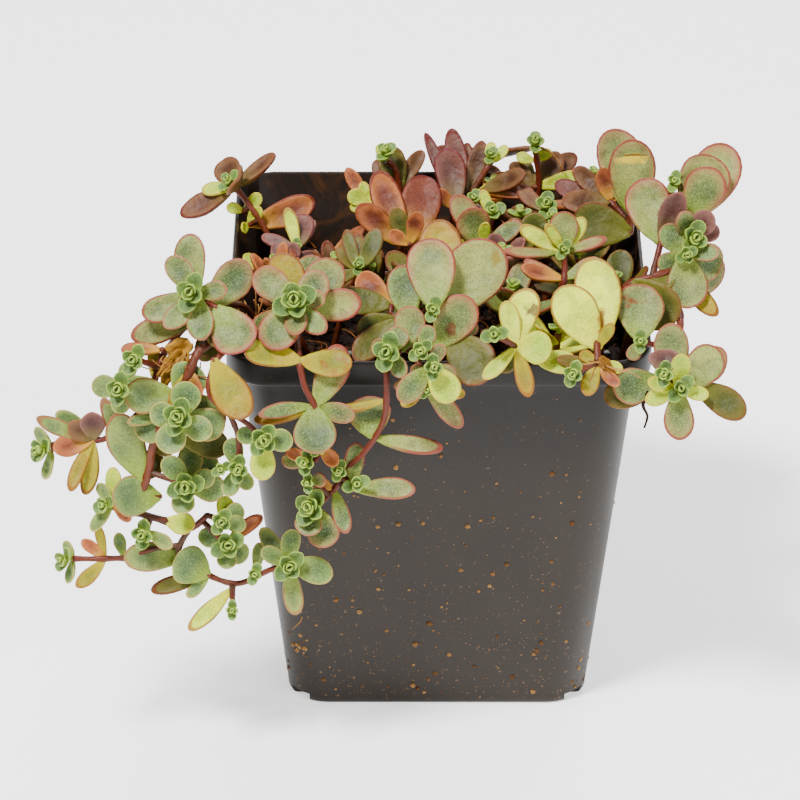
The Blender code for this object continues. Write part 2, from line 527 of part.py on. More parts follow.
# Low sprigs that fill the middle of the pot: foot x and y, height of the top, length of the
# longest leaf, clock hour of the first pair and tone; then the lean of the first pair, in
# degrees, and the width of a leaf as a share of its length, where they aren't the usual ones
LOW_SPRIGS = (
    (-33, 0, 91, 10, 0.5, "rust", 45, 0.36),
    (-21, -1, 92, 11, 2.2, "bronze", 45, 0.36),
    (-30, -10, 92, 11, 1.2, "bronze", 40, 0.38),
    (-14, -7, 93, 12, 0.4, "olive", 45, 0.36),
    (-4, -9, 95, 13, 1.5, "olive"),
    (15, -16, 94, 12, 0.8, "glaucous"),
    (13, -6, 97, 10, 2.4, "plum"),
    (17, 11, 97, 9, 0.8, "bronze"),
    (12, 26, 97, 10, 2.6, "rust"),
    (31, 16, 97, 9, 1.4, "plum"),
    (33, 29, 97, 10, 0.2, "rust"),
    (29, -2, 95, 12, 2.1, "olive"),
    (36, -9, 92, 14, 0.6, "olive"),
    (24, -27, 91, 11, 1.8, "lime"),
)
for number, row in enumerate(LOW_SPRIGS):
    SPRAYS[f"low_sprig_{number + 1}"] = low_sprig(*row)


def clock_frame(faces):
    """The twelve o'clock and three o'clock directions of a clock that faces this way."""
    noon = (UP_THE_FRONT - faces * UP_THE_FRONT.dot(faces)).normalized()
    if faces.y > 0:
        noon = (Vector((0, 0, 1)) - faces * faces.z).normalized()
    return noon, noon.cross(faces)


def listed_blade(joint, row, tone, draw):
    """A listed leaf in its place, turned a little by chance so that no two are quite alike."""
    noon, three = clock_frame(joint.faces)
    hour = math.radians(30 * row.clock + draw.uniform(-2, 2))
    lean = math.radians(row.lean + draw.uniform(-3, 3))
    flat = noon * math.cos(hour) + three * math.sin(hour)
    along = flat * math.cos(lean) + joint.faces * math.sin(lean)
    face = (joint.faces - along * joint.faces.dot(along)).normalized()
    face.rotate(Matrix.Rotation(math.radians(row.roll), 3, along))
    grown = LEAF_GROWTH if row.length < LONG_LEAF else 1.0
    return Blade(joint.at, along, face, row.length * grown, row.width * grown, row.tone or tone)


def core_blades(joint, size=1.0):
    """The young leaves at a joint: opposite pairs, each pair turned a right angle to the last,
    smaller and more upright towards the middle."""
    noon, three = clock_frame(joint.faces)
    blades = []
    for pair in range(joint.core.pairs):
        share = 1 - pair / joint.core.pairs
        lean = math.radians(72 - 48 * share)
        length = size * joint.core.reach * (0.5 + 0.64 * share)
        root = joint.at + joint.faces * (CORE_LIFT + size * CORE_RISE * (pair + 0.5))
        for side in (0, 180):
            angle = math.radians(joint.core.turn + (90 + CORE_DRIFT) * pair + side)
            flat = noon * math.cos(angle) + three * math.sin(angle)
            along = flat * math.cos(lean) + joint.faces * math.sin(lean)
            face = (joint.faces - along * joint.faces.dot(along)).normalized()
            width = length * (0.92 - 0.12 * share)
            blades.append(Blade(root, along, face, length, width, "core"))
    return blades


def core_shape(joint, size=1.0, margin=0.0):
    """Vertices and faces of a whole core: a square axis that narrows upwards, with a young leaf
    drawn out of two opposite sides of each storey. In a full core a bud stands for the
    innermost pair."""
    noon, three = clock_frame(joint.faces)
    blades = core_blades(joint, size)
    pairs = joint.core.pairs
    storeys = max(2, pairs - 1)
    points = []
    for storey in range(storeys + 1):
        height = CORE_LIFT + size * CORE_RISE * storey if storey else -LEAF_FOOT
        half = size * max(0.4, 0.15 * joint.core.reach) * (1 - 0.55 * storey / pairs) + margin
        for corner in range(4):
            angle = math.radians(joint.core.turn + CORE_DRIFT * storey + 45 + 90 * corner)
            flat = noon * math.cos(angle) + three * math.sin(angle)
            points.append(joint.at + flat * half * math.sqrt(2) + joint.faces * height)
    faces = [(0, 1, 2, 3)]
    for storey in range(storeys):
        for corner in range(4):
            a = 4 * storey + corner
            b = 4 * storey + (corner + 1) % 4
            if (corner + 1 - storey) % 2:
                faces.append((a, a + 4, b + 4, b))
                continue
            blade = blades[2 * storey + ((corner + 1 - storey) % 4) // 2]
            draw_out(points, faces, (a, b, b + 4, a + 4), blade, margin)
    bud = CORE_LIFT + size * (CORE_RISE * storeys + 0.25 * joint.core.reach) + margin
    points.append(joint.at + joint.faces * bud)
    top = 4 * storeys
    faces.extend((top + (corner + 1) % 4, top + corner, len(points) - 1) for corner in range(4))
    return points, faces


def draw_out(points, faces, root, blade, margin):
    """A young leaf that starts from four corners of its axis: a keeled section and a tip."""
    side = blade.along.cross(blade.face)
    deep = 0.32 + 0.07 * blade.length + margin
    wide = 0.5 * blade.width + margin
    middle = blade.root + blade.along * blade.length * 0.62
    keel = len(points)
    right, left, tip = keel + 1, keel + 2, keel + 3
    points.append(middle - blade.face * deep)
    points.append(middle + side * wide + blade.face * deep * 0.7)
    points.append(middle - side * wide + blade.face * deep * 0.7)
    points.append(blade.root + blade.along * (blade.length + margin))
    low_left, low_right, high_right, high_left = root
    faces.append((low_right, low_left, keel))
    faces.append((high_right, low_right, keel, right))
    faces.append((high_left, high_right, right, left))
    faces.append((low_left, high_left, left, keel))
    faces.extend([(right, keel, tip), (left, right, tip), (keel, left, tip)])


def half_width(share):
    """Outline of a spoon-shaped leaf, as a share of its half width: a narrower foot, widest past
    the middle of its length, and a round tip."""
    if share < WIDEST:
        return 0.34 + 0.66 * math.sin(0.5 * math.pi * share / WIDEST) ** 1.3
    return math.sqrt(max(0.0, 1 - ((share - WIDEST) / (1 - WIDEST)) ** 2))


def blade_rings(blade, shares, margin=0.0):
    """Sections along a leaf: left edge, right edge and keel, and on a longer leaf a point on the
    upper face too."""
    side = blade.along.cross(blade.face)
    thick = LEAF_HALF_THICKNESS + LEAF_THICKENING * blade.length
    rings = []
    for share in shares:
        wide = 0.5 * blade.width * half_width(share) + margin
        deep = thick * (1 - 0.45 * share) + margin
        spoon = -4 * LEAF_SPOON * blade.length * share * (1 - share)
        middle = blade.root + blade.along * blade.length * share + blade.face * spoon
        lift = blade.face * (LEAF_CUP * wide)
        left, right = middle - side * wide + lift, middle + side * wide + lift
        if blade.length < SMALL_LEAF:
            rings.append([left, right, middle - blade.face * deep * 1.2])
        else:
            rings.append([left, middle + blade.face * deep * 0.6, right, middle - blade.face * deep])
    return rings


def ring_shares(length):
    """Where along a leaf its sections lie: more of them on a longer leaf."""
    if length < YOUNG_LEAF:
        return (0.62,)
    if length < LONG_LEAF:
        return (0.4, 0.82)
    return (0.32, 0.62, 0.88)


def blade_shape(blade, from_share=0.0, margin=0.0):
    """Vertices and faces of one leaf: pointed at its foot, inside the stem, and at its tip."""
    shares = [share for share in ring_shares(blade.length) if share > from_share]
    rings = blade_rings(blade, shares, margin)
    if from_share:
        foot = blade.root + blade.along * blade.length * from_share
    else:
        foot = blade.root - blade.along * LEAF_FOOT
    count = len(rings[0])
    points = [foot] + [corner for ring in rings for corner in ring]
    points.append(blade.root + blade.along * (blade.length + margin))
    tip = len(points) - 1
    faces = [(0, 1 + (corner + 1) % count, 1 + corner) for corner in range(count)]
    for ring in range(len(rings) - 1):
        for corner in range(count):
            a = 1 + count * ring + corner
            b = 1 + count * ring + (corner + 1) % count
            faces.append((a, b, b + count, a + count))
    last = 1 + count * (len(rings) - 1)
    faces.extend((last + corner, last + (corner + 1) % count, tip) for corner in range(count))
    return points, faces


def smooth_route(route):
    """A route with a point added in the middle of each long stretch, on a smooth curve."""
    points = [route[0]]
    for index in range(1, len(route)):
        before, start, end = route[max(index - 2, 0)], route[index - 1], route[index]
        after = route[min(index + 1, len(route) - 1)]
        if index > 1 and (end - start).length > 8:
            points.append((start + end) * 0.5625 - (before + after) * 0.0625)
        points.append(end)
    return points


def nearest_on_stems(stems, place):
    best = None
    for one in stems:
        route = smooth_route(one.route)
        for start, end in zip(route, route[1:]):
            run = end - start
            share = min(1.0, max(0.0, (place - start).dot(run) / run.length_squared))
            point = start + run * share
            if best is None or (point - place).length < (best - place).length:
                best = point
    return best


def twigs_of(one_spray):
    """A short twig for each joint that stands off its stem."""
    twigs = []
    for joint in one_spray.tufts:
        foot = nearest_on_stems(one_spray.stems, joint.at)
        if (foot - joint.at).length > TWIG_FROM:
            twigs.append((foot, joint.at + (joint.at - foot).normalized() * 0.3))
    return twigs


def tube_object(name, points, radii, collection, sides=STEM_SIDES):
    """A tube along a route, made as a curve with a bevel and turned into a closed mesh."""
    curve = bpy.data.curves.new(name, "CURVE")
    curve.dimensions = "3D"
    curve.bevel_depth = MM
    curve.bevel_resolution = (sides - 4) // 2
    curve.use_fill_caps = True
    line = curve.splines.new("POLY")
    line.points.add(len(points) - 1)
    for index, (point, radius) in enumerate(zip(points, radii)):
        line.points[index].co = (*(point * MM), 1)
        line.points[index].radius = radius
    holder = bpy.data.objects.new(name, curve)
    collection.objects.link(holder)
    bpy.context.view_layer.update()
    mesh = bpy.data.meshes.new_from_object(holder.evaluated_get(bpy.context.evaluated_depsgraph_get()))
    bpy.data.objects.remove(holder)
    work = bmesh.new()
    work.from_mesh(mesh)
    bmesh.ops.remove_doubles(work, verts=work.verts, dist=0.00001)
    bmesh.ops.recalc_face_normals(work, faces=work.faces)
    work.to_mesh(mesh)
    work.free()
    tube = bpy.data.objects.new(name, mesh)
    collection.objects.link(tube)
    return tube


def shape_object(name, points, faces, collection):
    mesh = bpy.data.meshes.new(name)
    mesh.from_pydata([point * MM for point in points], [], faces)
    work = bmesh.new()
    work.from_mesh(mesh)
    bmesh.ops.recalc_face_normals(work, faces=work.faces)
    work.to_mesh(mesh)
    work.free()
    made = bpy.data.objects.new(name, mesh)
    collection.objects.link(made)
    return made


def tapered(foot_radius, tip_radius, count):
    return [foot_radius + (tip_radius - foot_radius) * step / (count - 1) for step in range(count)]


def tree_of_object(made):
    return BVHTree.FromPolygons(
        [vertex.co / MM for vertex in made.data.vertices],
        [tuple(polygon.vertices) for polygon in made.data.polygons],
    )


def turned(blade, tilt, swing, size):
    """The same leaf, tilted off its face, swung sideways and grown to another size."""
    side = blade.along.cross(blade.face)
    turn = Matrix.Rotation(math.radians(swing), 3, blade.face) @ Matrix.Rotation(math.radians(tilt), 3, side)
    return blade._replace(
        along=turn @ blade.along, face=turn @ blade.face,
        length=blade.length * size, width=blade.width * size,
    )


TILTS = (0, 7, -7, 14, -14, 22, -22, 30, -30)
SWINGS = (0, 9, -9, 18, -18)
SIZES = (1.0, 0.8, 0.6)
OPEN_SHARE = 0.38


def trial_turns():
    """Turns to try on a crowded leaf, the smallest first."""
    turns = [(tilt, swing) for tilt in TILTS for swing in SWINGS]
    turns.sort(key=lambda turn: abs(turn[0]) + 1.5 * abs(turn[1]))
    return [(tilt, swing, size) for size in SIZES for tilt, swing in turns]


class Crowd:
    """What has been placed so far, for bending each new leaf clear of it."""

    def __init__(self):
        self.walls = []
        self.stems = []
        self.placed = []
        self.turns = trial_turns()

    def near(self, middle, reach):
        return [one for one in self.placed if (one["middle"] - middle).length < reach + one["reach"]]

    def clear_of_others(self, owner, whole, near):
        if any(whole.overlap(wall) for wall in self.walls):
            return False
        if any(name != owner and whole.overlap(tree) for name, tree in self.stems):
            return False
        return not any(one["owner"] != owner and whole.overlap(one["whole"]) for one in near)

    def add(self, owner, middle, reach, shape, outer):
        self.placed.append({
            "owner": owner, "middle": middle, "reach": reach, "shape": shape,
            "whole": BVHTree.FromPolygons(*shape), "outer": BVHTree.FromPolygons(*outer),
        })

    def place_core(self, owner, joint):
        """Adds a core, made smaller where it would touch a neighbour."""
        reach = joint.core.reach + 1
        near = self.near(joint.at, reach + 1)
        for size in (1.0, 0.85, 0.7, 0.55):
            whole = BVHTree.FromPolygons(*core_shape(joint, size, GAP))
            if self.clear_of_others(owner, whole, near):
                shape = core_shape(joint, size)
                self.add(owner, joint.at, reach, shape, shape)
                return

    def place_blade(self, owner, blade):
        """Adds a leaf as it is, or bent clear of what stands in its way. A leaf that no turn
        clears is left off."""
        for own_too in (True, False):
            for tilt, swing, size in self.turns:
                trial = turned(blade, tilt, swing, size)
                if self.fits(owner, trial, own_too):
                    middle = trial.root + trial.along * trial.length * 0.5
                    outer = blade_shape(trial, OPEN_SHARE)
                    self.add(owner, middle, trial.length * 0.5, blade_shape(trial), outer)
                    return

    def fits(self, owner, blade, own_too):
        near = self.near(blade.root + blade.along * blade.length * 0.5, blade.length * 0.5 + 2)
        whole = BVHTree.FromPolygons(*blade_shape(blade, 0.0, GAP))
        if not self.clear_of_others(owner, whole, near):
            return False
        if not own_too:
            return True
        outer = BVHTree.FromPolygons(*blade_shape(blade, OPEN_SHARE))
        return not any(one["owner"] == owner and outer.overlap(one["outer"]) for one in near)


def fused(name, pieces, collection):
    """One closed solid of all the pieces, which are then removed. Where faces nearly coincide
    and leave an edge that more than two faces share, the pieces shift by a hair and fuse again."""
    draw = random.Random(SEED)
    base = pieces[0]
    group = bpy.data.collections.new(name + "_pieces")
    collection.children.link(group)
    for piece in pieces[1:]:
        collection.objects.unlink(piece)
        group.objects.link(piece)
    join = base.modifiers.new("join", "BOOLEAN")
    join.operand_type = "COLLECTION"
    join.collection = group
    join.operation = "UNION"
    join.solver = "MANIFOLD"
    work = united(base)
    while any(len(edge.link_faces) != 2 for edge in work.edges):
        work.free()
        for piece in pieces:
            piece.location = [draw.uniform(-HAIR, HAIR) * MM for _ in range(3)]
        work = united(base)
    for piece in pieces:
        bpy.data.objects.remove(piece)
    bpy.data.collections.remove(group)
    for _ in range(3):
        thin_out(work)
    mesh = bpy.data.meshes.new(name)
    work.to_mesh(mesh)
    work.free()
    made = bpy.data.objects.new(name, mesh)
    collection.objects.link(made)
    return made


def united(base):
    """The mesh of a Boolean union, in triangles and without its scraps."""
    bpy.context.view_layer.update()
    shown = base.evaluated_get(bpy.context.evaluated_depsgraph_get())
    work = bmesh.new()
    work.from_mesh(shown.to_mesh())
    shown.to_mesh_clear()
    bmesh.ops.transform(work, matrix=base.matrix_world, verts=work.verts)
    bmesh.ops.triangulate(work, faces=work.faces)
    drop_scraps(work)
    return work


def drop_scraps(work):
    """Keeps the largest body of a mesh: what else fusing left are specks and sealed hollows."""
    unseen = set(work.verts)
    bodies = []
    while unseen:
        body = set()
        edge_of_search = [unseen.pop()]
        while edge_of_search:
            vertex = edge_of_search.pop()
            body.add(vertex)
            for edge in vertex.link_edges:
                other = edge.other_vert(vertex)
                if other in unseen:
                    unseen.remove(other)
                    edge_of_search.append(other)
        bodies.append(body)
    bodies.sort(key=len)
    for body in bodies[:-1]:
        bmesh.ops.delete(work, geom=list(body), context="VERTS")


def departure(vertex, target):
    """How far the surface moves when a vertex slides to its neighbour, or None if a face
    would fold over."""
    most = 0.0
    for face in vertex.link_faces:
        if target in face.verts:
            continue
        most = max(most, abs((target.co - vertex.co).dot(face.normal)))
        others = [corner.co for corner in face.verts if corner is not vertex]
        old = (others[0] - vertex.co).cross(others[1] - vertex.co)
        new = (others[0] - target.co).cross(others[1] - target.co)
        if old.dot(new) <= 0.3 * old.length * new.length or new.length < 1e-9:
            return None
    return most


def thin_out(work):
    """Merges the needless vertices that fusing leaves along each join into their neighbours."""
    bmesh.ops.recalc_face_normals(work, faces=work.faces)
    short = [edge for edge in work.edges if edge.calc_length() < JOIN_REACH * MM]
    short.sort(key=lambda edge: edge.calc_length())
    for edge in short:
        if not edge.is_valid:
            continue
        first, second = edge.verts
        around = [{link.other_vert(end) for link in end.link_edges} for end in (first, second)]
        shared = around[0] & around[1]
        if len(shared) != 2 or any(len(vertex.link_edges) == 3 for vertex in shared):
            continue
        slides = []
        for vertex, target in ((first, second), (second, first)):
            moved = departure(vertex, target)
            if moved is not None and moved < JOIN_TOLERANCE * MM:
                slides.append((moved, target))
        if slides:
            keep = min(slides, key=lambda slide: slide[0])[1].co.copy()
            bmesh.ops.pointmerge(work, verts=[first, second], merge_co=keep)
            kept = first if first.is_valid else second
            for face in kept.link_faces:
                face.normal_update()


TONES = {
    "glaucous": "#8fa27c", "lime": "#a9c07a", "olive": "#7b8148", "yellow": "#c2b25a",
    "rust": "#b4694a", "bronze": "#7d6048", "plum": "#8a5f5e",
}


def linear(colour):
    channels = [int(colour[i:i + 2], 16) / 255 for i in (1, 3, 5)]
    return [c / 12.92 if c <= 0.04045 else ((c + 0.055) / 1.055) ** 2.4 for c in channels] + [1.0]


def material(name, colour, roughness):
    made = bpy.data.materials.new(name)
    made.use_nodes = True
    shader = made.node_tree.nodes["Principled BSDF"]
    shader.inputs["Base Color"].default_value = linear(colour)
    shader.inputs["Roughness"].default_value = roughness
    shader.inputs["Metallic"].default_value = 0.0
    return made


def rounded_square(width, corner, height, per_corner=4, per_side=0):
    """Points round a square with round corners, starting at its right side."""
    inset = width / 2 - corner
    points = []
    for quarter in range(4):
        turn = Matrix.Rotation(math.radians(90 * quarter), 3, "Z")
        for step in range(per_corner + 1):
            angle = math.radians(90 * step / per_corner)
            arc = Vector((inset + corner * math.cos(angle), inset + corner * math.sin(angle), height))
            points.append(turn @ arc)
        for step in range(1, per_side + 1):
            across = inset - 2 * inset * step / (per_side + 1)
            points.append(turn @ Vector((across, width / 2, height)))
    return points


def loft(rings, close_last):
    """Faces between rings of equal length, with the first ring closed and the last if asked."""
    count = len(rings[0])
    points = [point for ring in rings for point in ring]
    faces = [tuple(reversed(range(count)))]
    for ring in range(len(rings) - 1):
        for step in range(count):
            a = ring * count + step
            b = ring * count + (step + 1) % count
            faces.append((a, b, b + count, a + count))
    if close_last:
        last = (len(rings) - 1) * count
        faces.append(tuple(range(last, last + count)))
    return points, faces


def body_width(height):
    """Outer width of the pot below its rim band: it tapers evenly to the base."""
    share = height / (POT_HEIGHT - RIM_BAND)
    return BASE_WIDTH + (BODY_TOP_WIDTH - BASE_WIDTH) * share


def make_pot(collection, cutters):
    band = POT_HEIGHT - RIM_BAND
    levels = (
        (BASE_WIDTH - 2 * BASE_EDGE, 8.4, 0.0),
        (body_width(BASE_EDGE), 9.0, BASE_EDGE),
        (body_width(band - 0.5), 9.4, band - 0.5),
        (RIM_WIDTH - 0.5, RIM_CORNER, band + 0.4),
        (RIM_WIDTH, RIM_CORNER, band + 1.2),
        (RIM_WIDTH, RIM_CORNER, POT_HEIGHT - 0.4),
        (RIM_WIDTH - 0.5, RIM_CORNER, POT_HEIGHT),
    )
    rings = [rounded_square(width, corner, height) for width, corner, height in levels]
    pot = shape_object("pot", *loft(rings, close_last=False), collection)
    face_outwards(pot)
    wall = pot.modifiers.new("wall", "SOLIDIFY")
    wall.thickness = WALL * MM
    wall.offset = -1
    wall.use_even_offset = True
    for quarter in range(4):
        turn = Matrix.Rotation(math.radians(90 * quarter), 4, "Z")
        cutter = bmesh.new()
        bmesh.ops.create_cube(cutter, size=1)
        reach = 12.0
        middle = NOTCH_FROM_CENTRE + reach / 2
        size = Matrix.Diagonal((reach, reach, 2 * NOTCH_HEIGHT, 1))
        place = turn @ Matrix.Translation((middle, middle, 0)) @ size
        bmesh.ops.transform(cutter, matrix=Matrix.Scale(MM, 4) @ place, verts=cutter.verts)
        mesh = bpy.data.meshes.new(f"corner_notch_{quarter + 1}")
        cutter.to_mesh(mesh)
        cutter.free()
        notch = bpy.data.objects.new(mesh.name, mesh)
        notch.display_type = "WIRE"
        notch.hide_render = True
        cutters.objects.link(notch)
        cut = pot.modifiers.new(mesh.name, "BOOLEAN")
        cut.object = notch
        cut.operation = "DIFFERENCE"
    pot.data.materials.append(material("pot_plastic", "#4a4540", 0.5))
    return pot


def face_outwards(pot):
    """Turns the open shell's faces outwards, so that the wall thickens inwards."""
    work = bmesh.new()
    work.from_mesh(pot.data)
    bmesh.ops.recalc_face_normals(work, faces=work.faces)
    work.faces.ensure_lookup_table()
    if work.faces[0].normal.z > 0:
        bmesh.ops.reverse_faces(work, faces=work.faces)
    work.to_mesh(pot.data)
    work.free()


def soil_height(x, y, clods):
    """Height of the soil: low at the back left, heaped at the left, with clods on it."""
    low = SOIL_SLOPE_BACK / (1 + math.exp((x - y + 10) / 9))
    heap = SOIL_HEAP_LEFT * math.exp(-((x + 38) ** 2 + (y + 12) ** 2) / 260)
    bump = SOIL_BUMP * 0.5 * (math.sin(0.31 * x + 1.3) * math.cos(0.27 * y) + math.sin(0.17 * (x - y)))
    clod = sum(tall * math.exp(-((x - cx) ** 2 + (y - cy) ** 2) / 12) for cx, cy, tall in clods)
    return SOIL_LEVEL - low + heap + bump + clod


def make_soil(collection, holes):
    draw = random.Random(SEED)
    reach = 34
    clods = [
        (draw.uniform(-reach, reach), draw.uniform(-reach, reach), draw.uniform(0.3, 1) * CLOD_SIZE)
        for _ in range(CLODS)
    ]
    inside = 2 * (WALL + GAP)
    floor = WALL + GAP
    rings = [
        rounded_square(body_width(floor) - inside, 7.8, floor, per_side=4),
        rounded_square(body_width(70) - inside, 8.2, 70, per_side=4),
    ]
    edge = rounded_square(body_width(SOIL_LEVEL) - inside - 0.8, 8.2, 0, per_side=4)
    for share in (1.0, 0.97, 0.78, 0.56, 0.34, 0.12):
        ring = []
        for point in edge:
            x, y = point.x * share, point.y * share
            sunk = 1.0 if share == 1.0 else 0.0
            ring.append(Vector((x, y, soil_height(x, y, clods) - sunk)))
        rings.append(ring)
    soil = shape_object("soil", *loft(rings, close_last=True), collection)
    cut = soil.modifiers.new("stem_holes", "BOOLEAN")
    cut.operand_type = "COLLECTION"
    cut.collection = holes
    cut.operation = "DIFFERENCE"
    soil.data.materials.append(material("peat", "#2e221a", 0.95))
    return soil


def stem_hole(name, one, holes):
    """A plain hole in the soil round the foot of a stem."""
    foot, above = one.route[0], one.route[1]
    run = (above - foot).normalized()
    radius = (one.foot_radius + GAP) * math.sqrt(2)
    points = [foot - run * GAP, foot + run * 22]
    hole = tube_object(name, points, [radius, radius], holes, sides=4)
    hole.display_type = "WIRE"
    hole.hide_render = True


def solid_tree(made):
    """What a leaf may not cross, from an object's mesh with its modifiers."""
    bpy.context.view_layer.update()
    shown = made.evaluated_get(bpy.context.evaluated_depsgraph_get())
    mesh = shown.to_mesh()
    tree = BVHTree.FromPolygons(
        [vertex.co / MM for vertex in mesh.vertices], [tuple(face.vertices) for face in mesh.polygons]
    )
    shown.to_mesh_clear()
    return tree


def make_plant(collection, crowd):
    pieces = {}
    for name, one_spray in SPRAYS.items():
        pieces[name] = []
        for one in one_spray.stems:
            route = smooth_route(one.route)
            radii = tapered(one.foot_radius, one.tip_radius, len(route))
            pieces[name].append(tube_object(name, route, radii, collection))
        for foot, top in twigs_of(one_spray):
            pieces[name].append(tube_object(name, [foot, top], [TWIG_RADIUS] * 2, collection, TWIG_SIDES))
        crowd.stems += [(name, tree_of_object(piece)) for piece in pieces[name]]
    for name, one_spray in SPRAYS.items():
        for joint in one_spray.tufts:
            if joint.core:
                crowd.place_core(name, joint)
    draw = random.Random(SEED)
    for name, one_spray in SPRAYS.items():
        for joint in one_spray.tufts:
            for row in joint.leaves:
                crowd.place_blade(name, listed_blade(joint, row, one_spray.tone, draw))
    for one in crowd.placed:
        pieces[one["owner"]].append(shape_object("leaf", *one["shape"], collection))
    skins = {tone: material(tone + "_leaf", colour, 0.45) for tone, colour in TONES.items()}
    for name, one_spray in SPRAYS.items():
        made = fused(name, pieces[name], collection)
        made.data.materials.clear()
        made.data.materials.append(skins[one_spray.tone])


def main():
    for old in list(bpy.data.objects):
        bpy.data.objects.remove(old)
    parts = bpy.data.collections.new("potted_sedum")
    cutters = bpy.data.collections.new("cutters")
    holes = bpy.data.collections.new("stem_holes")
    for collection in (parts, cutters):
        bpy.context.scene.collection.children.link(collection)
    cutters.children.link(holes)
    for name, one_spray in SPRAYS.items():
        stem_hole(name + "_hole", one_spray.stems[0], holes)
    pot = make_pot(parts, cutters)
    soil = make_soil(parts, holes)
    crowd = Crowd()
    crowd.walls = [solid_tree(pot), solid_tree(soil)]
    make_plant(parts, crowd)


if __name__ == "__main__":
    main()
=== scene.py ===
"""The looks of the potted sedum.

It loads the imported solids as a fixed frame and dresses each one: smooth fleshy leaves and stems on
every spray, a moulded pot, crumbs and fibres on the soil. The layout is the solids' own, in
millimetres from the centre of the pot's base, X to the right, -Y to the front, +Z up. Only the
bends of two stems, the leaf over one of them and one core's size are the fine model's alone.
"""

import math
import random
from collections import namedtuple

import bpy
from mathutils import Matrix, Vector, noise
from mathutils.bvhtree import BVHTree


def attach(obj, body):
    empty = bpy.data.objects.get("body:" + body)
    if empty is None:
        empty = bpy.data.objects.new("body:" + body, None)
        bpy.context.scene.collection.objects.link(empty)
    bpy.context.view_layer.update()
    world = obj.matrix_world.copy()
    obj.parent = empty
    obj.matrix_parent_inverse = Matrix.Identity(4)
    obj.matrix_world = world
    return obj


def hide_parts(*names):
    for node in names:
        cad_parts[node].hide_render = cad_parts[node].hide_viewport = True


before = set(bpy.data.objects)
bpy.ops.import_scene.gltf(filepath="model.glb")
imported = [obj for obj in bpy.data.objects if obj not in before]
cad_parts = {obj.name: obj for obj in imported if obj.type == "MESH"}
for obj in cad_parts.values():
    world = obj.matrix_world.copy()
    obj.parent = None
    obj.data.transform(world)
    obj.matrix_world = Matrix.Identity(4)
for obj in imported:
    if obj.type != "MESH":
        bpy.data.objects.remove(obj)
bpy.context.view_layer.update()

MM = 0.001
SEED = 7

# The pot, in millimetres, as in the solids
RIM_WIDTH = 90.0
RIM_CORNER = 9.0
POT_HEIGHT = 93.0
RIM_BAND = 6.0
BODY_TOP_WIDTH = 84.4
BASE_WIDTH = 66.0
WALL = 1.1
NOTCH_FROM_CENTRE = 28.3
NOTCH_HEIGHT = 2.0

# How the pot is drawn: steps round a corner, the share of a corner at which the base's notch starts,
# and the angle, in degrees, from which an edge is hard
CORNER_STEPS = 20
NOTCH_START = 0.3
HARD_EDGE = 50

# Leaves and cores, as in the solids: lengths in millimetres, turns in degrees and shares of a leaf's
# length or width
LEAF_HALF_THICKNESS = 0.5
LEAF_THICKENING = 0.035
LEAF_SPOON = 0.055
LEAF_CUP = 0.16
LEAF_FOOT = 0.6
LEAF_GROWTH = 1.09
YOUNG_LEAF = 6.6
SMALL_LEAF = 10.4
LONG_LEAF = 13.0
WIDEST = 0.63
CORE_LIFT = 1.2
CORE_RISE = 0.62
CORE_DRIFT = 7
TWIG_RADIUS = 0.65
TWIG_FROM = 0.8

# How finely leaves and stems are drawn. A leaf's rings lie at shares of its length up to its widest
# part, and then at these turns, in degrees, round its tip
LEAF_RINGS = ((0.0, 0.07, 0.16, 0.27, 0.39, 0.51, 0.6), (3, 20, 37, 53, 68, 81))
LEAF_AROUND = 16
YOUNG_RINGS = ((0.0, 0.2, 0.42), (0, 30, 56, 78))
YOUNG_AROUND = 12
STEM_AROUND = 10
STEM_STEP = 1.3

# A living stem: thinner than its solid, swollen near its joints, and uneven
STEM_SHRINK = 0.88
JOINT_SWELL = 0.2
JOINT_REACH = 1.6
STEM_UNEVENNESS = 0.16

# A living leaf: hollow above and full below, with a groove along it, a wavy margin and a crook
UPPER_SWELL = 0.62
SWELL_ROUNDNESS = 0.6
GROOVE_DEPTH = 0.16
GROOVE_WIDTH = 0.2
LEAF_WAVE = 0.05
LEAF_CROOK = 0.035
SLIM = 0.44
BOAT_TONES = ("bronze", "rust", "plum")
BOAT_CUP = (0.24, 0.38)
YOUNG_CUP = (0.42, 0.56)

Stem = namedtuple("Stem", "foot_radius tip_radius route")
Leaf = namedtuple("Leaf", "clock length width lean roll tone")
Core = namedtuple("Core", "reach pairs turn")
Tuft = namedtuple("Tuft", "at faces core leaves")
Spray = namedtuple("Spray", "tone stems tufts")
Blade = namedtuple("Blade", "root along face length width tone")

# The way that most tufts face, and the twelve o'clock of a tuft that faces so
FRONT = (0.0, -0.87, 0.5)
UP_THE_FRONT = Vector((0.0, 0.5, 0.87))


def stem(foot_radius, tip_radius, *route):
    """A stem through these places, from its foot to its tip."""
    return Stem(foot_radius, tip_radius, [Vector(place) for place in route])


def leaf(clock, length, width, lean=0, roll=0, tone=None):
    """A leaf that points at an hour of the clock, as seen facing its tuft. lean lifts its tip
    off the clock's face and roll turns the blade about its own length, both in degrees."""
    return Leaf(clock, length, width, lean, roll, tone)


def tuft(at, *leaves, faces=FRONT, core=None):
    """Leaves that grow from one joint. core is (reach, pairs, turn) of the young leaves in it."""
    return Tuft(Vector(at), Vector(faces).normalized(), Core(*core) if core else None, leaves)


def spray(tone, *parts):
    """All that grows as one piece, and the tone of the leaves that have none of their own."""
    return Spray(
        tone,
        [part for part in parts if isinstance(part, Stem)],
        [part for part in parts if isinstance(part, Tuft)],
    )


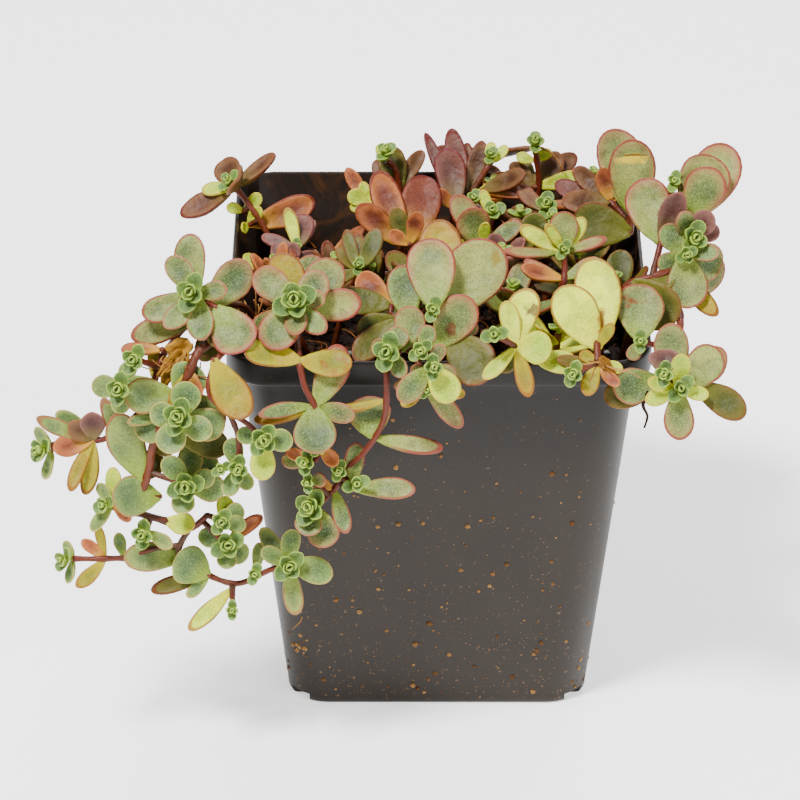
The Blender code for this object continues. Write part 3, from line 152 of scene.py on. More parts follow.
SPRAYS = {
    "front_left_rosette": spray(
        "glaucous",
        stem(1.05, 0.8, (-36, -24, 70), (-41, -30, 93), (-47, -35, 100), (-51, -39, 106)),
        tuft(
            (-51, -39, 106),
            leaf(11.75, 12, 6.5), leaf(10.75, 9, 5, 8), leaf(8.25, 11, 5.5, 12),
            leaf(7.25, 9, 4.5, 22), leaf(5.5, 10, 5.5, 18), leaf(2.75, 6.5, 4, 5),
            faces=(-0.25, -0.8, 0.55), core=(4.3, 3, 20),
        ),
        tuft((-49, -37, 102), leaf(8.25, 17, 6), leaf(1.5, 13, 8)),
        tuft((-46.5, -42, 104.5), leaf(4.75, 11, 9, 20), leaf(5.75, 8, 5.5, 8, tone="olive")),
        tuft((-47, -36, 99), leaf(6.5, 9, 5, 5, tone="olive")),
    ),
    "front_rosette": spray(
        "glaucous",
        stem(1.05, 0.8, (-28, -22, 70), (-31, -34, 92), (-30, -40, 100), (-30, -41, 105)),
        tuft(
            (-30, -41, 105),
            leaf(10.25, 10, 6.5), leaf(1.5, 8, 6), leaf(7, 11, 8, 16),
            leaf(6, 8, 4.5, 25), leaf(4.5, 9, 4.5, 20), leaf(3, 6, 4, 15),
            faces=(-0.05, -0.8, 0.6), core=(4.8, 4, 65),
        ),
        tuft(
            (-29, -38, 102),
            leaf(11.25, 13, 7.5, -8, tone="yellow"), leaf(1.25, 13, 8.5, -10),
            leaf(0.5, 13, 7.5, -18), leaf(7.9, 13, 8, 16), leaf(2.75, 13, 7, 8),
        ),
    ),
    "front_sprig_left": spray(
        "glaucous",
        stem(
            0.85, 0.65, (-23, -30, 70), (-28.8, -39, 94.6), (-29.5, -45, 97), (-29, -50, 95), (-28, -52, 91),
            (-26, -53, 87), (-25, -53.5, 81), (-25, -54, 77), (-26, -55, 75),
        ),
        tuft((-29, -49.5, 96), leaf(9.4, 11, 6, 8, 20, "yellow"), leaf(3.1, 10, 6, -5, -25, "yellow")),
        tuft(
            (-26, -53, 87),
            leaf(0.75, 14, 7), leaf(8.5, 13, 3.5, 0, 30, "yellow"), leaf(3.5, 8, 4, -10),
            leaf(8.75, 11, 3, 12), leaf(6, 10, 8.5, 25),
        ),
        tuft(
            (-27, -55, 75), leaf(9, 6, 3.5, -5), leaf(9.75, 5, 2.5, 5, tone="rust"),
            faces=(-0.3, -0.85, 0.4), core=(2.8, 3, 10),
        ),
        tuft((-25, -56, 79), leaf(4.5, 5, 3, 15, tone="rust"), faces=(0, -0.9, 0.4), core=(2.2, 2, 50)),
    ),
    "front_sprig_right": spray(
        "glaucous",
        stem(
            0.8, 0.65, (-8, -28, 70), (-9, -40, 95), (-11, -47, 98), (-11, -51, 94), (-11, -52, 88),
            (-12, -52, 82), (-16, -52, 75), (-20, -52, 71), (-22, -53, 67), (-26, -54, 63),
        ),
        tuft((-11, -52, 88), leaf(8.75, 14, 2.5, -8, 35, "yellow")),
        tuft((-14, -52, 79), leaf(3.25, 15, 4, 0, -20), leaf(11.75, 8, 8.5, 10)),
        tuft((-18, -54, 69), leaf(0.25, 8, 4, -5), faces=(0.2, -0.85, 0.45), core=(3, 2, 70)),
        tuft((-18, -53, 67), leaf(3, 12, 4.5, 0, -15)),
        tuft((-21, -55, 73), faces=(0, -0.9, 0.4), core=(2.4, 3, 20)),
        tuft((-27, -55, 70), leaf(2.5, 4, 3, 30), faces=(-0.2, -0.9, 0.4), core=(2.2, 2, 0)),
        tuft((-22, -53, 67), leaf(5.5, 9, 3.5, 8), leaf(9.75, 5, 2.5, 15, tone="rust")),
        tuft(
            (-26, -54, 63), leaf(5.5, 8, 6.5, -5), leaf(6.5, 6, 5.5, 20),
            faces=(-0.3, -0.8, 0.5), core=(4.2, 4, 30),
        ),
    ),
    "centre_bunch": spray(
        "glaucous",
        stem(0.95, 0.8, (-3, -29, 70), (-5, -39, 94), (-5.5, -45, 98), (-4, -50, 94), (-3, -53, 91)),
        stem(0.8, 0.7, (-5.5, -45, 98), (-10, -51, 98)),
        tuft(
            (-10, -51, 99), leaf(0.75, 5, 4.5, -8), leaf(9.75, 4, 3.5, 8), leaf(5, 6, 3.5, 18),
            faces=(-0.25, -0.85, 0.45), core=(4.2, 3, 15),
        ),
        tuft((-8, -49, 98), leaf(0.5, 9, 6, -10)),
        tuft((-4, -52, 100), leaf(0.75, 5, 3.5, -10), faces=(0, -0.9, 0.4), core=(2.8, 3, 50)),
        tuft(
            (-2, -54, 97), leaf(1, 5, 3, 10), leaf(7.5, 9, 5, -8), leaf(4.75, 8, 6, -5, tone="lime"),
            leaf(4, 6, 5, 0), faces=(0.2, -0.85, 0.45), core=(2.8, 3, 0),
        ),
        tuft(
            (-3, -53, 92), leaf(7.75, 6, 3, 15, 35, "yellow"), leaf(11, 5, 3, 10),
            leaf(3.5, 8, 3, 0, -35, "yellow"), leaf(9, 6, 3, 0, 20), leaf(4.25, 11, 4, 2),
            faces=(0.1, -0.95, 0.2), core=(2.2, 2, 30),
        ),
    ),
    "centre_paddles": spray(
        "glaucous",
        stem(1.1, 0.8, (1, -20, 70), (1, -31, 91), (0, -38, 101)),
        stem(0.8, 0.7, (1, -31, 91), (-6, -38, 99)),
        tuft((-1, -42, 104), leaf(11.75, 16, 10.5, -18), faces=(-0.1, -0.85, 0.5), core=(2.8, 2, 20)),
        tuft(
            (0, -38, 100),
            leaf(12, 22, 10, -15, tone="yellow"), leaf(1.25, 20, 13, -8), leaf(2, 7, 4, -12),
        ),
        tuft((-6, -41, 101), leaf(11.75, 11, 7, -10), faces=(0, -0.85, 0.5), core=(2.6, 2, 0)),
        tuft((-1, -44, 96), leaf(1.25, 12, 8, 5)),
        tuft((2, -42, 98), leaf(4.75, 12, 9.5, 5, tone="olive"), leaf(2.5, 6, 3.5, -5)),
    ),
    "inner_front_leaves": spray(
        "olive",
        stem(0.9, 0.75, (-14, -18, 70), (-14, -26, 90), (-10, -33, 98)),
        tuft((-10, -31, 99), leaf(10.5, 9, 5.5, -8, tone="rust"), leaf(9.25, 11, 6, 0, 15)),
        tuft((-9, -35, 98), leaf(8.25, 8, 6.5, 5), leaf(7.5, 13, 6, 8, 10)),
    ),
    "finger_sprig": spray(
        "olive",
        stem(0.9, 0.7, (-24, -8, 70), (-20, -13, 90), (-17, -18, 100)),
        tuft(
            (-17, -19, 101), leaf(11.5, 10, 3, -5), leaf(0, 13, 3.5, -25), leaf(0.75, 10, 4, -5),
            leaf(8, 6, 3, 20), leaf(11, 9, 3.5, -25), faces=(0, -0.6, 0.8), core=(2.2, 2, 10),
        ),
    ),
    "back_left_sprig": spray(
        "bronze",
        stem(0.95, 0.75, (-32, 8, 66), (-34, 15, 79), (-37, 20, 88), (-41, 22, 95), (-45, 25, 99)),
        tuft(
            (-45, 25, 99), leaf(8, 14, 5.5, 5, -15), leaf(10.75, 8, 6, 5), leaf(1, 11, 4, -10),
            leaf(3.5, 7, 7, 45), leaf(8.5, 7, 3.5, 18, tone="lime"),
            faces=(-0.5, -0.4, 0.8), core=(2.9, 2, 35),
        ),
        tuft((-43, 23, 94), leaf(1.5, 5, 3, 15, tone="lime"), leaf(9.5, 4, 2.5, 25, tone="lime")),
        tuft(
            (-42, 22, 91), leaf(2.25, 16, 6.5, -10, tone="rust"), leaf(1.25, 5, 3, 30, tone="lime"),
            leaf(9, 4, 2.5, 40, tone="lime"),
        ),
    ),
    "back_left_low_sprig": spray(
        "plum",
        stem(0.8, 0.7, (-22, 8, 66), (-26, 12, 80), (-31, 14, 88)),
        tuft(
            (-31, 14, 89), leaf(0.25, 9, 5.5, -20), leaf(0.75, 11, 2.5, -20), leaf(9.75, 8, 3, -10),
            leaf(11.5, 9, 3, -10, tone="lime"), faces=(0, -0.7, 0.7), core=(2, 2, 0),
        ),
        tuft((-34, 6, 87), leaf(11.5, 7, 3, -20), leaf(0.75, 7, 3.5, -12), leaf(2, 9, 4, -20)),
        tuft((-40, 6, 88), leaf(11, 4, 2.5, 0, tone="lime"), leaf(12, 4, 2.5, -15, tone="lime")),
    ),
    "back_red_sprig": spray(
        "rust",
        stem(1.05, 0.8, (-10, 4, 70), (-9, 6, 84), (-7, 8, 94)),
        tuft((-7, 8, 93), leaf(10.25, 14, 6, 10), leaf(11.25, 18, 7, -12), leaf(0.5, 17, 9.5, -15)),
        tuft((-6, 5, 95), leaf(11.25, 8, 4, 5, tone="olive"), leaf(0.5, 7, 3.5, 20), leaf(10, 5, 3, 10)),
        tuft((-24, 11, 88), leaf(1.5, 10, 3, -10)),
        tuft(
            (-15, 18, 98), leaf(10, 5, 3.5, 10, tone="lime"), leaf(11.5, 5, 2.5, 0, tone="lime"),
            leaf(2.5, 4, 3, 0, tone="lime"), leaf(8.75, 4, 2.5, 5, tone="lime"), leaf(11, 9, 3, -8),
        ),
    ),
    "back_top_sprig": spray(
        "bronze",
        stem(0.9, 0.75, (-9, 28, 70), (-8, 33, 88), (-9, 34, 98), (-11, 34, 101)),
        tuft((-8, 34, 94), leaf(11.5, 9, 6, -5, tone="olive"), leaf(10.5, 9, 4, -25), leaf(1, 10, 3.5, -25)),
        tuft((-11, 34, 101), leaf(10.75, 4, 2.5, 30, tone="lime"), faces=(-0.1, -0.3, 0.95), core=(3, 3, 30)),
    ),
    "back_purple_sprig": spray(
        "plum",
        stem(1.05, 0.8, (2, 18, 70), (3, 20, 86), (4, 22, 96)),
        stem(0.8, 0.7, (3, 20, 86), (7, 26, 96)),
        tuft((4, 22, 95), leaf(11.75, 14, 7, -5), leaf(11.25, 19, 3, -15), leaf(10.5, 6, 3, 15, tone="rust")),
        tuft(
            (7, 26, 95), leaf(11.5, 17, 5, -10), leaf(12, 14, 4, -12, tone="bronze"),
            leaf(0.5, 14, 4.5, -10, tone="bronze"), leaf(2, 12, 2.5, 10, tone="lime"),
        ),
        tuft((10, 25, 98), leaf(2.25, 11, 4.5, -5, -25, "bronze"), leaf(3, 11, 4, 20, -30, "rust")),
        tuft(
            (12, 29, 103), leaf(12, 5, 2.5, 10, tone="lime"), leaf(1.5, 5, 2.5, 10, tone="lime"),
            faces=(0, -0.4, 0.9), core=(2.5, 2, 20),
        ),
    ),
    "back_dry_sprig": spray(
        "bronze",
        stem(0.9, 0.7, (20, 27, 70), (22, 32, 86), (23, 33, 95), (22, 34, 104)),
        tuft(
            (22, 33, 95), leaf(10.5, 7, 3.5), leaf(1.25, 9, 5, -10), leaf(11.25, 7, 3.5, -15, tone="olive"),
            leaf(1.75, 12, 4.5, -15), leaf(2.5, 10, 3.5, 0, tone="lime"),
        ),
        tuft((22, 34, 101), leaf(2, 4, 2.5, tone="lime"), leaf(9.5, 4, 2.5, 0, tone="lime")),
        tuft((22, 34, 104), faces=(0, -0.5, 0.85), core=(2.8, 3, 0)),
    ),
    "mid_sprout_left": spray(
        "glaucous",
        stem(0.9, 0.7, (9, 0, 70), (9, 4, 88), (10, 5, 97)),
        stem(0.7, 0.65, (9, 4, 88), (12, 10, 99)),
        tuft(
            (10, 4, 95), leaf(11, 12, 5.5, -5), leaf(11.25, 9, 7, 28), leaf(2, 9, 4, 5, -20),
            leaf(0.25, 6, 2.5, 25, tone="lime"), leaf(9, 7, 3, 5, tone="lime"),
        ),
        tuft((8, 14, 100), faces=(0, -0.5, 0.85), core=(2.6, 2, 20)),
        tuft((12, 10, 99), leaf(11, 6, 2.5, 20, tone="lime"), faces=(0, -0.6, 0.8), core=(3.2, 3, 60)),
        tuft((6, -4, 94), leaf(2.25, 8, 5, -10, tone="olive")),
    ),
    "mid_sprout_right": spray(
        "bronze",
        stem(0.9, 0.7, (24, 7, 70), (24, 11, 88), (24, 15, 98)),
        tuft((24, 15, 98), leaf(10.75, 9, 3.5, -15), faces=(0, -0.6, 0.8), core=(3.4, 3, 10)),
        tuft((20, 12, 93), leaf(11.25, 7, 4.5, 5), leaf(9, 6, 4, 0)),
        tuft((19, 6, 93), leaf(0.75, 8, 5.5, 0, tone="olive"), leaf(9, 7, 5, 0, tone="olive")),
    ),
    "right_mid_sprig": spray(
        "glaucous",
        stem(0.9, 0.7, (25, -12, 70), (25, -17, 90), (27, -17, 98), (27, -10, 101)),
        tuft(
            (27, -10, 101), leaf(12, 8, 6), leaf(10, 10, 3.5, 0, tone="lime"), leaf(9, 13, 3, 5, 30),
            leaf(2.5, 9, 3, 8, -30), leaf(1, 8, 3.5, 5, tone="lime"), leaf(10.75, 7, 2.5, 25, tone="lime"),
            faces=(0, -0.8, 0.6), core=(2.4, 2, 30),
        ),
        tuft(
            (27, -17, 98), leaf(9.5, 9, 3.5, 5, 30, "rust"), leaf(2, 8, 3.5, 8, -25),
            leaf(10, 9, 3, -8, 25),
        ),
        tuft((25, -4, 105), faces=(-0.1, -0.5, 0.85), core=(2.2, 2, 0)),
    ),
    "yellow_paddles": spray(
        "yellow",
        stem(1.05, 0.8, (34, -25, 70), (34, -38, 93), (33, -45, 98), (33, -49, 95)),
        tuft(
            (33, -46, 97), leaf(12, 20, 10, -15, tone="lime"), leaf(11, 15, 9.5, 0, tone="lime"),
            leaf(1, 6, 2.5, 20),
        ),
        tuft(
            (33, -49, 95), leaf(6.75, 7, 3.5, 20), leaf(10, 4, 2.5), leaf(4.5, 6, 2.5, 10, tone="rust"),
            leaf(3.5, 5, 2.5, 5, tone="lime"), leaf(9.25, 8, 2.5, -5, tone="olive"),
        ),
        tuft((28, -51, 94), faces=(-0.1, -0.9, 0.4), core=(2.9, 3, 20)),
    ),
    "front_right_sprig": spray(
        "lime",
        stem(0.95, 0.75, (15, -28, 70), (16, -40, 94), (16, -47, 98)),
        tuft(
            (16, -47, 98), leaf(11.5, 9, 4, -5), leaf(0.5, 13, 7, -15), leaf(3, 7, 6.5, 15),
            leaf(7.5, 9, 3, 5, 15), leaf(5.5, 10, 3.5, 5, tone="yellow"),
            leaf(7, 6, 4, -20, tone="olive"),
        ),
        tuft((20, -47, 95), leaf(3.25, 8, 5, 0, -20)),
        tuft((12, -48, 101), faces=(-0.2, -0.8, 0.55), core=(3, 2, 75)),
    ),
    "right_back_paddles": spray(
        "glaucous",
        stem(1.05, 0.8, (34, 5, 70), (36, 9, 89), (43, 9, 100)),
        tuft((43, 9, 100), leaf(11.5, 20, 10.5, -8), leaf(12, 17, 10.5, 10)),
        tuft(
            (38, 12, 102), leaf(11.5, 7, 4, 0, tone="rust"), leaf(9, 10, 5.5, 10, 25, "bronze"),
            leaf(9.75, 13, 5, -5, 20, "plum"), leaf(10.5, 10, 4, -12, tone="bronze"),
        ),
        tuft((42, 1, 100), leaf(9.5, 13, 10, 0, tone="olive"), leaf(9.75, 13, 5.5, -15, 20, "olive")),
    ),
    "right_upper_sprig": spray(
        "glaucous",
        stem(
            1.05, 0.8, (33, -12, 70), (39, -14, 92.5), (46, -14, 97), (51, -12, 98), (53, -9, 101),
        ),
        stem(0.9, 0.75, (46, -14, 97), (48, -8, 102)),
        tuft(
            (54, -8, 103), leaf(11, 7, 4.5, 32), leaf(1.25, 7, 5, 15, tone="plum"),
            leaf(2.5, 7, 4, 0, tone="plum"), faces=(0.3, -0.8, 0.5), core=(4, 3, 25),
        ),
        tuft(
            (53, -11, 101), leaf(10.75, 7, 5), leaf(3, 7, 3.5, 20, -30), leaf(8.25, 10, 8),
            leaf(3.75, 8, 8, -5), leaf(6, 11, 8.5, 12), leaf(4.5, 11, 9),
            faces=(0.1, -0.9, 0.4), core=(2.6, 3, 60),
        ),
        tuft((48, -8, 102), leaf(11.5, 15, 10, -15), leaf(0.75, 11, 5, 15, tone="plum")),
        tuft((54, -3, 105), leaf(1, 20, 11, -15), leaf(0.75, 15, 11.5, 2), leaf(1, 13, 9, 18)),
        tuft((51, 2, 111), faces=(0, -0.7, 0.7), core=(2.6, 2, 20)),
        tuft(
            (52, -12, 98), leaf(4.75, 12, 4, 5, tone="yellow"), leaf(7.5, 12, 5, 12, 20, "olive"),
        ),
    ),
    "right_lower_sprig": spray(
        "glaucous",
        stem(
            1.05, 0.9, (36, -29.5, 70), (41, -32, 94), (47, -28, 96.7), (50.8, -31, 98), (50.5, -39.5, 95.3),
            (50, -47.5, 89.3),
        ),
        tuft(
            (50, -49, 89), leaf(6, 10, 6, 10), leaf(12, 8, 4, 38, tone="lime"),
            leaf(9.5, 7, 3, 25, tone="lime"), leaf(8.25, 7, 3.5, 5, tone="lime"),
            leaf(3.5, 6, 3, 15, tone="lime"), leaf(11.75, 14, 7.5, -5), leaf(1.5, 11, 7.5),
            leaf(1.75, 14, 7, -12), faces=(0.1, -0.85, 0.5), core=(3.4, 2, 45),
        ),
        tuft(
            (47, -50, 93), leaf(12, 5, 6, -15, tone="plum"),
            faces=(-0.1, -0.85, 0.5), core=(2.8, 3, 10),
        ),
        tuft((47, -48, 90), leaf(8.75, 10, 7, 5), leaf(8.5, 13, 7, -10, tone="olive")),
        tuft((53, -47, 89), leaf(4, 13, 6.5, 0, tone="olive")),
        tuft((42, -43, 97), leaf(0, 12, 9.5, -20), leaf(7, 4, 3), faces=(0, -0.85, 0.5), core=(2.5, 2, 0)),
    ),
    "left_trunk": spray(
        "glaucous",
        stem(
            1.25, 0.9, (-33, -29, 70), (-39, -36, 93.5), (-45, -41.5, 97), (-50, -46, 96.5), (-53, -49, 91),
            (-57, -50, 84), (-60, -51, 77), (-61, -51, 71), (-63, -51, 64), (-64, -51, 60),
        ),
        stem(0.9, 0.75, (-64, -51, 60), (-58, -51, 58), (-53, -51, 56), (-49, -52, 60)),
        stem(
            0.8, 0.7, (-53, -51, 56), (-55, -51, 52), (-55, -51, 49), (-50, -51, 45), (-43, -52, 43),
            (-36, -53, 47), (-32, -54, 49),
        ),
        stem(0.75, 0.65, (-55, -51, 52), (-61, -51, 51), (-66, -51, 49), (-72, -50, 48), (-78, -50, 48)),
        stem(0.7, 0.65, (-64, -51, 60), (-67, -51, 60), (-70, -52, 63)),
        stem(0.7, 0.65, (-44, -52, 43), (-44, -54, 38)),
        tuft((-52, -48, 93), leaf(7, 8, 3, 0, tone="yellow"), leaf(5.5, 6, 3, 10, tone="rust")),
        tuft(
            (-54, -54, 85), leaf(0.5, 7, 6, -5), leaf(9.25, 6, 5), leaf(6.75, 7.5, 6, 12),
            leaf(4, 7, 5, 5), leaf(3.5, 9, 6.5, -22), faces=(-0.1, -0.85, 0.5), core=(4.1, 4, 20),
        ),
        tuft((-55, -50, 88), leaf(1.25, 7, 7.5, 0), leaf(4, 11, 6, -10), leaf(9, 10, 7, -5)),
        tuft((-57, -50, 83), leaf(8, 7, 6, -5), leaf(8.75, 8, 2.5, -5)),
        tuft((-54, -50, 77), leaf(3.25, 9, 6, -5, tone="olive"), leaf(8.75, 6, 5, -20, tone="olive")),
        tuft(
            (-53, -53, 68), leaf(10.75, 7, 4.5, 5), leaf(0.25, 8, 5, -15), leaf(1.5, 9, 5, -12),
            leaf(3.25, 7.5, 5.5, -5), leaf(6.5, 6, 4.5, 22), leaf(2.25, 6, 4, 5),
            faces=(-0.05, -0.9, 0.4), core=(4.1, 4, 70),
        ),
        tuft(
            (-62, -51, 68), leaf(0.5, 6, 6, -15, tone="olive"), leaf(11.25, 16, 8, 5),
            leaf(11, 20, 4.5, -8),
        ),
        tuft((-59, -51, 64), leaf(9, 10, 8, 12)),
        tuft(
            (-69, -52, 63), leaf(4.75, 5, 3, -20, tone="rust"), leaf(10.5, 5, 3), leaf(7.25, 7, 3, 15),
            leaf(12, 7, 4, -10, tone="lime"), faces=(-0.6, -0.75, 0.3), core=(3, 2, 70),
        ),
        tuft((-58, -51, 58), leaf(3.25, 7, 4.5, 30, -15, "lime")),
        tuft((-62, -52, 56), leaf(4, 6, 3), faces=(-0.2, -0.9, 0.3), core=(3.3, 3, 10)),
        tuft(
            (-46, -54, 60), leaf(2, 5, 4, -15), leaf(3.5, 5, 3.5), leaf(0.5, 5, 3.5, -15, tone="lime"),
            faces=(0.05, -0.9, 0.4), core=(3, 3, 30),
        ),
        tuft(
            (-45, -54, 54), leaf(9.75, 6, 4, -18), leaf(1.75, 9, 3, 5, tone="rust"), leaf(4.25, 5, 4.5, -5),
            leaf(6, 5, 4, 18), faces=(0.1, -0.85, 0.45), core=(3.8, 3, 60),
        ),
        tuft((-54, -51, 49), leaf(9, 12, 6, 10)),
        tuft((-49, -52, 45), leaf(10, 8, 8, 20), leaf(8.5, 12, 3.5, -10, tone="olive"), leaf(7.5, 6, 2.5, 5)),
        tuft((-67, -51, 49), leaf(11.5, 5, 2.5, 5), leaf(4, 3, 2.5, 30)),
        tuft(
            (-71, -50, 48), leaf(11.5, 7, 2, 0, tone="yellow"), leaf(7.5, 8, 3, 0, tone="yellow"),
            leaf(10.25, 6, 2.5, 0, tone="rust"),
        ),
        tuft(
            (-78, -50, 48), leaf(11, 4, 2.5, 5), leaf(6.25, 5, 2.5, 10),
            faces=(-0.7, -0.6, 0.3), core=(3, 2, 40),
        ),
        tuft((-39, -54, 47), leaf(0.25, 6, 2.5, -10), faces=(0, -0.9, 0.4), core=(2.5, 2, 20)),
        tuft(
            (-32, -54, 49), leaf(3.5, 9, 5.5, 10), leaf(0.25, 7, 4), leaf(10, 6, 3.5), leaf(5.75, 10, 4, 5),
            leaf(10.75, 9, 3.5, -12), faces=(0.1, -0.9, 0.4), core=(3.8, 3, 45),
        ),
        tuft((-44, -52, 42), leaf(7.5, 12, 3.5, 0, tone="lime")),
        tuft((-44, -54, 38), faces=(0, -0.9, 0.4), core=(2.2, 2, 0)),
    ),
    "left_outer_stem": spray(
        "glaucous",
        stem(
            0.8, 0.7, (-35, -15, 70), (-40, -22, 92.3), (-46.5, -28, 97.2), (-53, -37, 97.5), (-58, -42, 93),
            (-60, -45, 88), (-63, -46, 82), (-66, -46, 79), (-71, -46, 75), (-76, -45, 75), (-82, -45, 73),
        ),
        tuft((-58, -43, 95), leaf(9, 8, 3, 0, 30, "rust")),
        tuft((-60, -45, 89), leaf(9, 8, 2.5, 5), leaf(12, 7, 2.5, -10, tone="yellow")),
        tuft((-63, -49, 96), leaf(7.5, 5, 3.5, -15), faces=(-0.2, -0.85, 0.45), core=(3.4, 3, 30)),
        tuft(
            (-66, -49, 89), leaf(9.25, 7, 4.5, -10), leaf(6.5, 5, 4, -10), leaf(3.5, 5, 3.5, -10),
            faces=(-0.25, -0.85, 0.45), core=(3.6, 3, 10),
        ),
        tuft(
            (-73, -46, 75), leaf(9.75, 13, 3.5, 10), leaf(10.25, 9, 3.5),
            leaf(10.25, 6, 4, 22, tone="bronze"), leaf(8.5, 8, 4.5, 10, tone="rust"),
            leaf(6.75, 11, 3, 5, tone="yellow"),
            leaf(6.25, 11, 3.5, -10, tone="yellow"), leaf(12, 6, 5, 25, tone="plum"),
        ),
        tuft(
            (-82, -45, 72), leaf(10.5, 6, 3, 8), leaf(6.5, 6, 3, 8),
            faces=(-0.7, -0.6, 0.3), core=(3.4, 3, 55),
        ),
    ),
    "left_inner_stem": spray(
        "glaucous",
        stem(
            0.75, 0.65, (-28, -33, 70), (-34, -38, 94), (-40, -44, 97.5), (-46, -50, 97), (-48, -54, 91),
            (-44, -55, 87), (-40, -55, 84), (-37, -56, 81),
        ),
        stem(0.7, 0.65, (-44, -55, 87), (-42, -55, 81), (-42, -56, 74)),
        tuft((-47, -51, 97), leaf(5, 14, 8, 5, tone="yellow")),
        tuft(
            (-37, -56, 81), leaf(3.25, 6, 4.5, 10), leaf(6, 8, 5, 5, tone="lime"), leaf(9.5, 5, 3.5, -8),
            faces=(0.1, -0.9, 0.4), core=(3.6, 4, 35),
        ),
        tuft(
            (-42, -56, 74), leaf(6.75, 6, 3.5, 10), leaf(5, 6, 4, 5), leaf(11.5, 6, 4, 5),
            faces=(0, -0.9, 0.4), core=(3, 3, 10),
        ),
        tuft((-45, -56, 74), faces=(-0.2, -0.9, 0.4), core=(2.3, 2, 60)),
    ),
    "right_rim_sprig": spray(
        "glaucous",
        stem(0.95, 0.75, (34, 20, 70), (40, 24, 90), (47, 27, 98), (52, 28, 93), (55, 29, 86)),
        tuft((48, 27, 98), leaf(12, 11, 7, 10), leaf(6, 9, 6, 5), faces=(0.5, -0.1, 0.85)),
        tuft(
            (55, 29, 86), leaf(12, 9, 6), leaf(6, 10, 6.5), leaf(3, 8, 5, 10), leaf(9, 8, 5, 10),
            faces=(0.85, -0.1, 0.5), core=(4, 3, 25),
        ),
    ),
    "back_rim_sprig": spray(
        "bronze",
        stem(0.95, 0.75, (8, 36, 70), (10, 40, 90), (11, 47, 97), (12, 52, 91), (12, 53, 84)),
        tuft((11, 47, 97), leaf(9, 10, 6, 5), leaf(3, 10, 6, 5), faces=(0, 0.4, 0.9)),
        tuft(
            (12, 53, 84), leaf(12, 9, 6), leaf(6, 9, 6, 5), leaf(3, 8, 5, 8), leaf(9, 8, 5, 8),
            faces=(0.1, 0.85, 0.5), core=(3.8, 3, 25),
        ),
    ),
}


# A low sprig: the height of its foot in the soil, how far its top leans out, its pairs of leaves and
# the lean, in degrees, that they steepen towards
LOW_SPRIG_FOOT = 70
LOW_SPRIG_SPREAD = 1.06
LOW_SPRIG_PAIRS = 3
UPRIGHT = 80


def low_sprig(x, y, top, length, turn, tone, lean=14, slimness=0.54):
    """A low upright sprig: opposite pairs of leaves up a short stem, each pair turned a right
    angle to the last, smaller and steeper, with a small core on top."""
    foot = Vector((x, y, LOW_SPRIG_FOOT))
    head = Vector((x * LOW_SPRIG_SPREAD, y * LOW_SPRIG_SPREAD, top))
    faces = (head - foot).normalized()
    parts = [stem(0.8, 0.7, foot, head)]
    for pair in range(LOW_SPRIG_PAIRS):
        at = head - faces * 0.2 * length * (LOW_SPRIG_PAIRS - pair)
        hour = turn + 3 * pair
        grown = length * (1 - 0.12 * pair)
        steeper = lean + (UPRIGHT - lean) * 0.26 * pair
        rows = [leaf(hour + side, grown, slimness * grown, steeper) for side in (0, 6)]
        parts.append(tuft(at, *rows, faces=faces))
    parts.append(tuft(head, faces=faces, core=(2.6, 2, 30 * turn)))
    return spray(tone, *parts)


# Low sprigs that fill the middle of the pot: foot x and y, height of the top, length of the
# longest leaf, clock hour of the first pair and tone; then the lean of the first pair, in
# degrees, and the width of a leaf as a share of its length, where they aren't the usual ones
LOW_SPRIGS = (
    (-33, 0, 91, 10, 0.5, "rust", 45, 0.36),
    (-21, -1, 92, 11, 2.2, "bronze", 45, 0.36),
    (-30, -10, 92, 11, 1.2, "bronze", 40, 0.38),
    (-14, -7, 93, 12, 0.4, "olive", 45, 0.36),
    (-4, -9, 95, 13, 1.5, "olive"),
    (15, -16, 94, 12, 0.8, "glaucous"),
    (13, -6, 97, 10, 2.4, "plum"),
    (17, 11, 97, 9, 0.8, "bronze"),
    (12, 26, 97, 10, 2.6, "rust"),
    (31, 16, 97, 9, 1.4, "plum"),
    (33, 29, 97, 10, 0.2, "rust"),
    (29, -2, 95, 12, 2.1, "olive"),
    (36, -9, 92, 14, 0.6, "olive"),
    (24, -27, 91, 11, 1.8, "lime"),
)
for number, row in enumerate(LOW_SPRIGS):
    SPRAYS[f"low_sprig_{number + 1}"] = low_sprig(*row)


def clock_frame(faces):
    """The twelve o'clock and three o'clock directions of a clock that faces this way."""
    noon = (UP_THE_FRONT - faces * UP_THE_FRONT.dot(faces)).normalized()
    if faces.y > 0:
        noon = (Vector((0, 0, 1)) - faces * faces.z).normalized()
    return noon, noon.cross(faces)


# The degrees of an hour on the clock, and how many a leaf turns and lifts by chance
DEGREES_AN_HOUR = 30
CHANCE_TURN = 2
CHANCE_LEAN = 3


def listed_blade(joint, row, tone, draw):
    """A listed leaf in its place, turned a little by chance so that no two are quite alike."""
    noon, three = clock_frame(joint.faces)
    hour = math.radians(DEGREES_AN_HOUR * row.clock + draw.uniform(-CHANCE_TURN, CHANCE_TURN))
    lean = math.radians(row.lean + draw.uniform(-CHANCE_LEAN, CHANCE_LEAN))
    flat = noon * math.cos(hour) + three * math.sin(hour)
    along = flat * math.cos(lean) + joint.faces * math.sin(lean)
    face = (joint.faces - along * joint.faces.dot(along)).normalized()
    face.rotate(Matrix.Rotation(math.radians(row.roll), 3, along))
    grown = LEAF_GROWTH if row.length < LONG_LEAF else 1.0
    return Blade(joint.at, along, face, row.length * grown, row.width * grown, row.tone or tone)


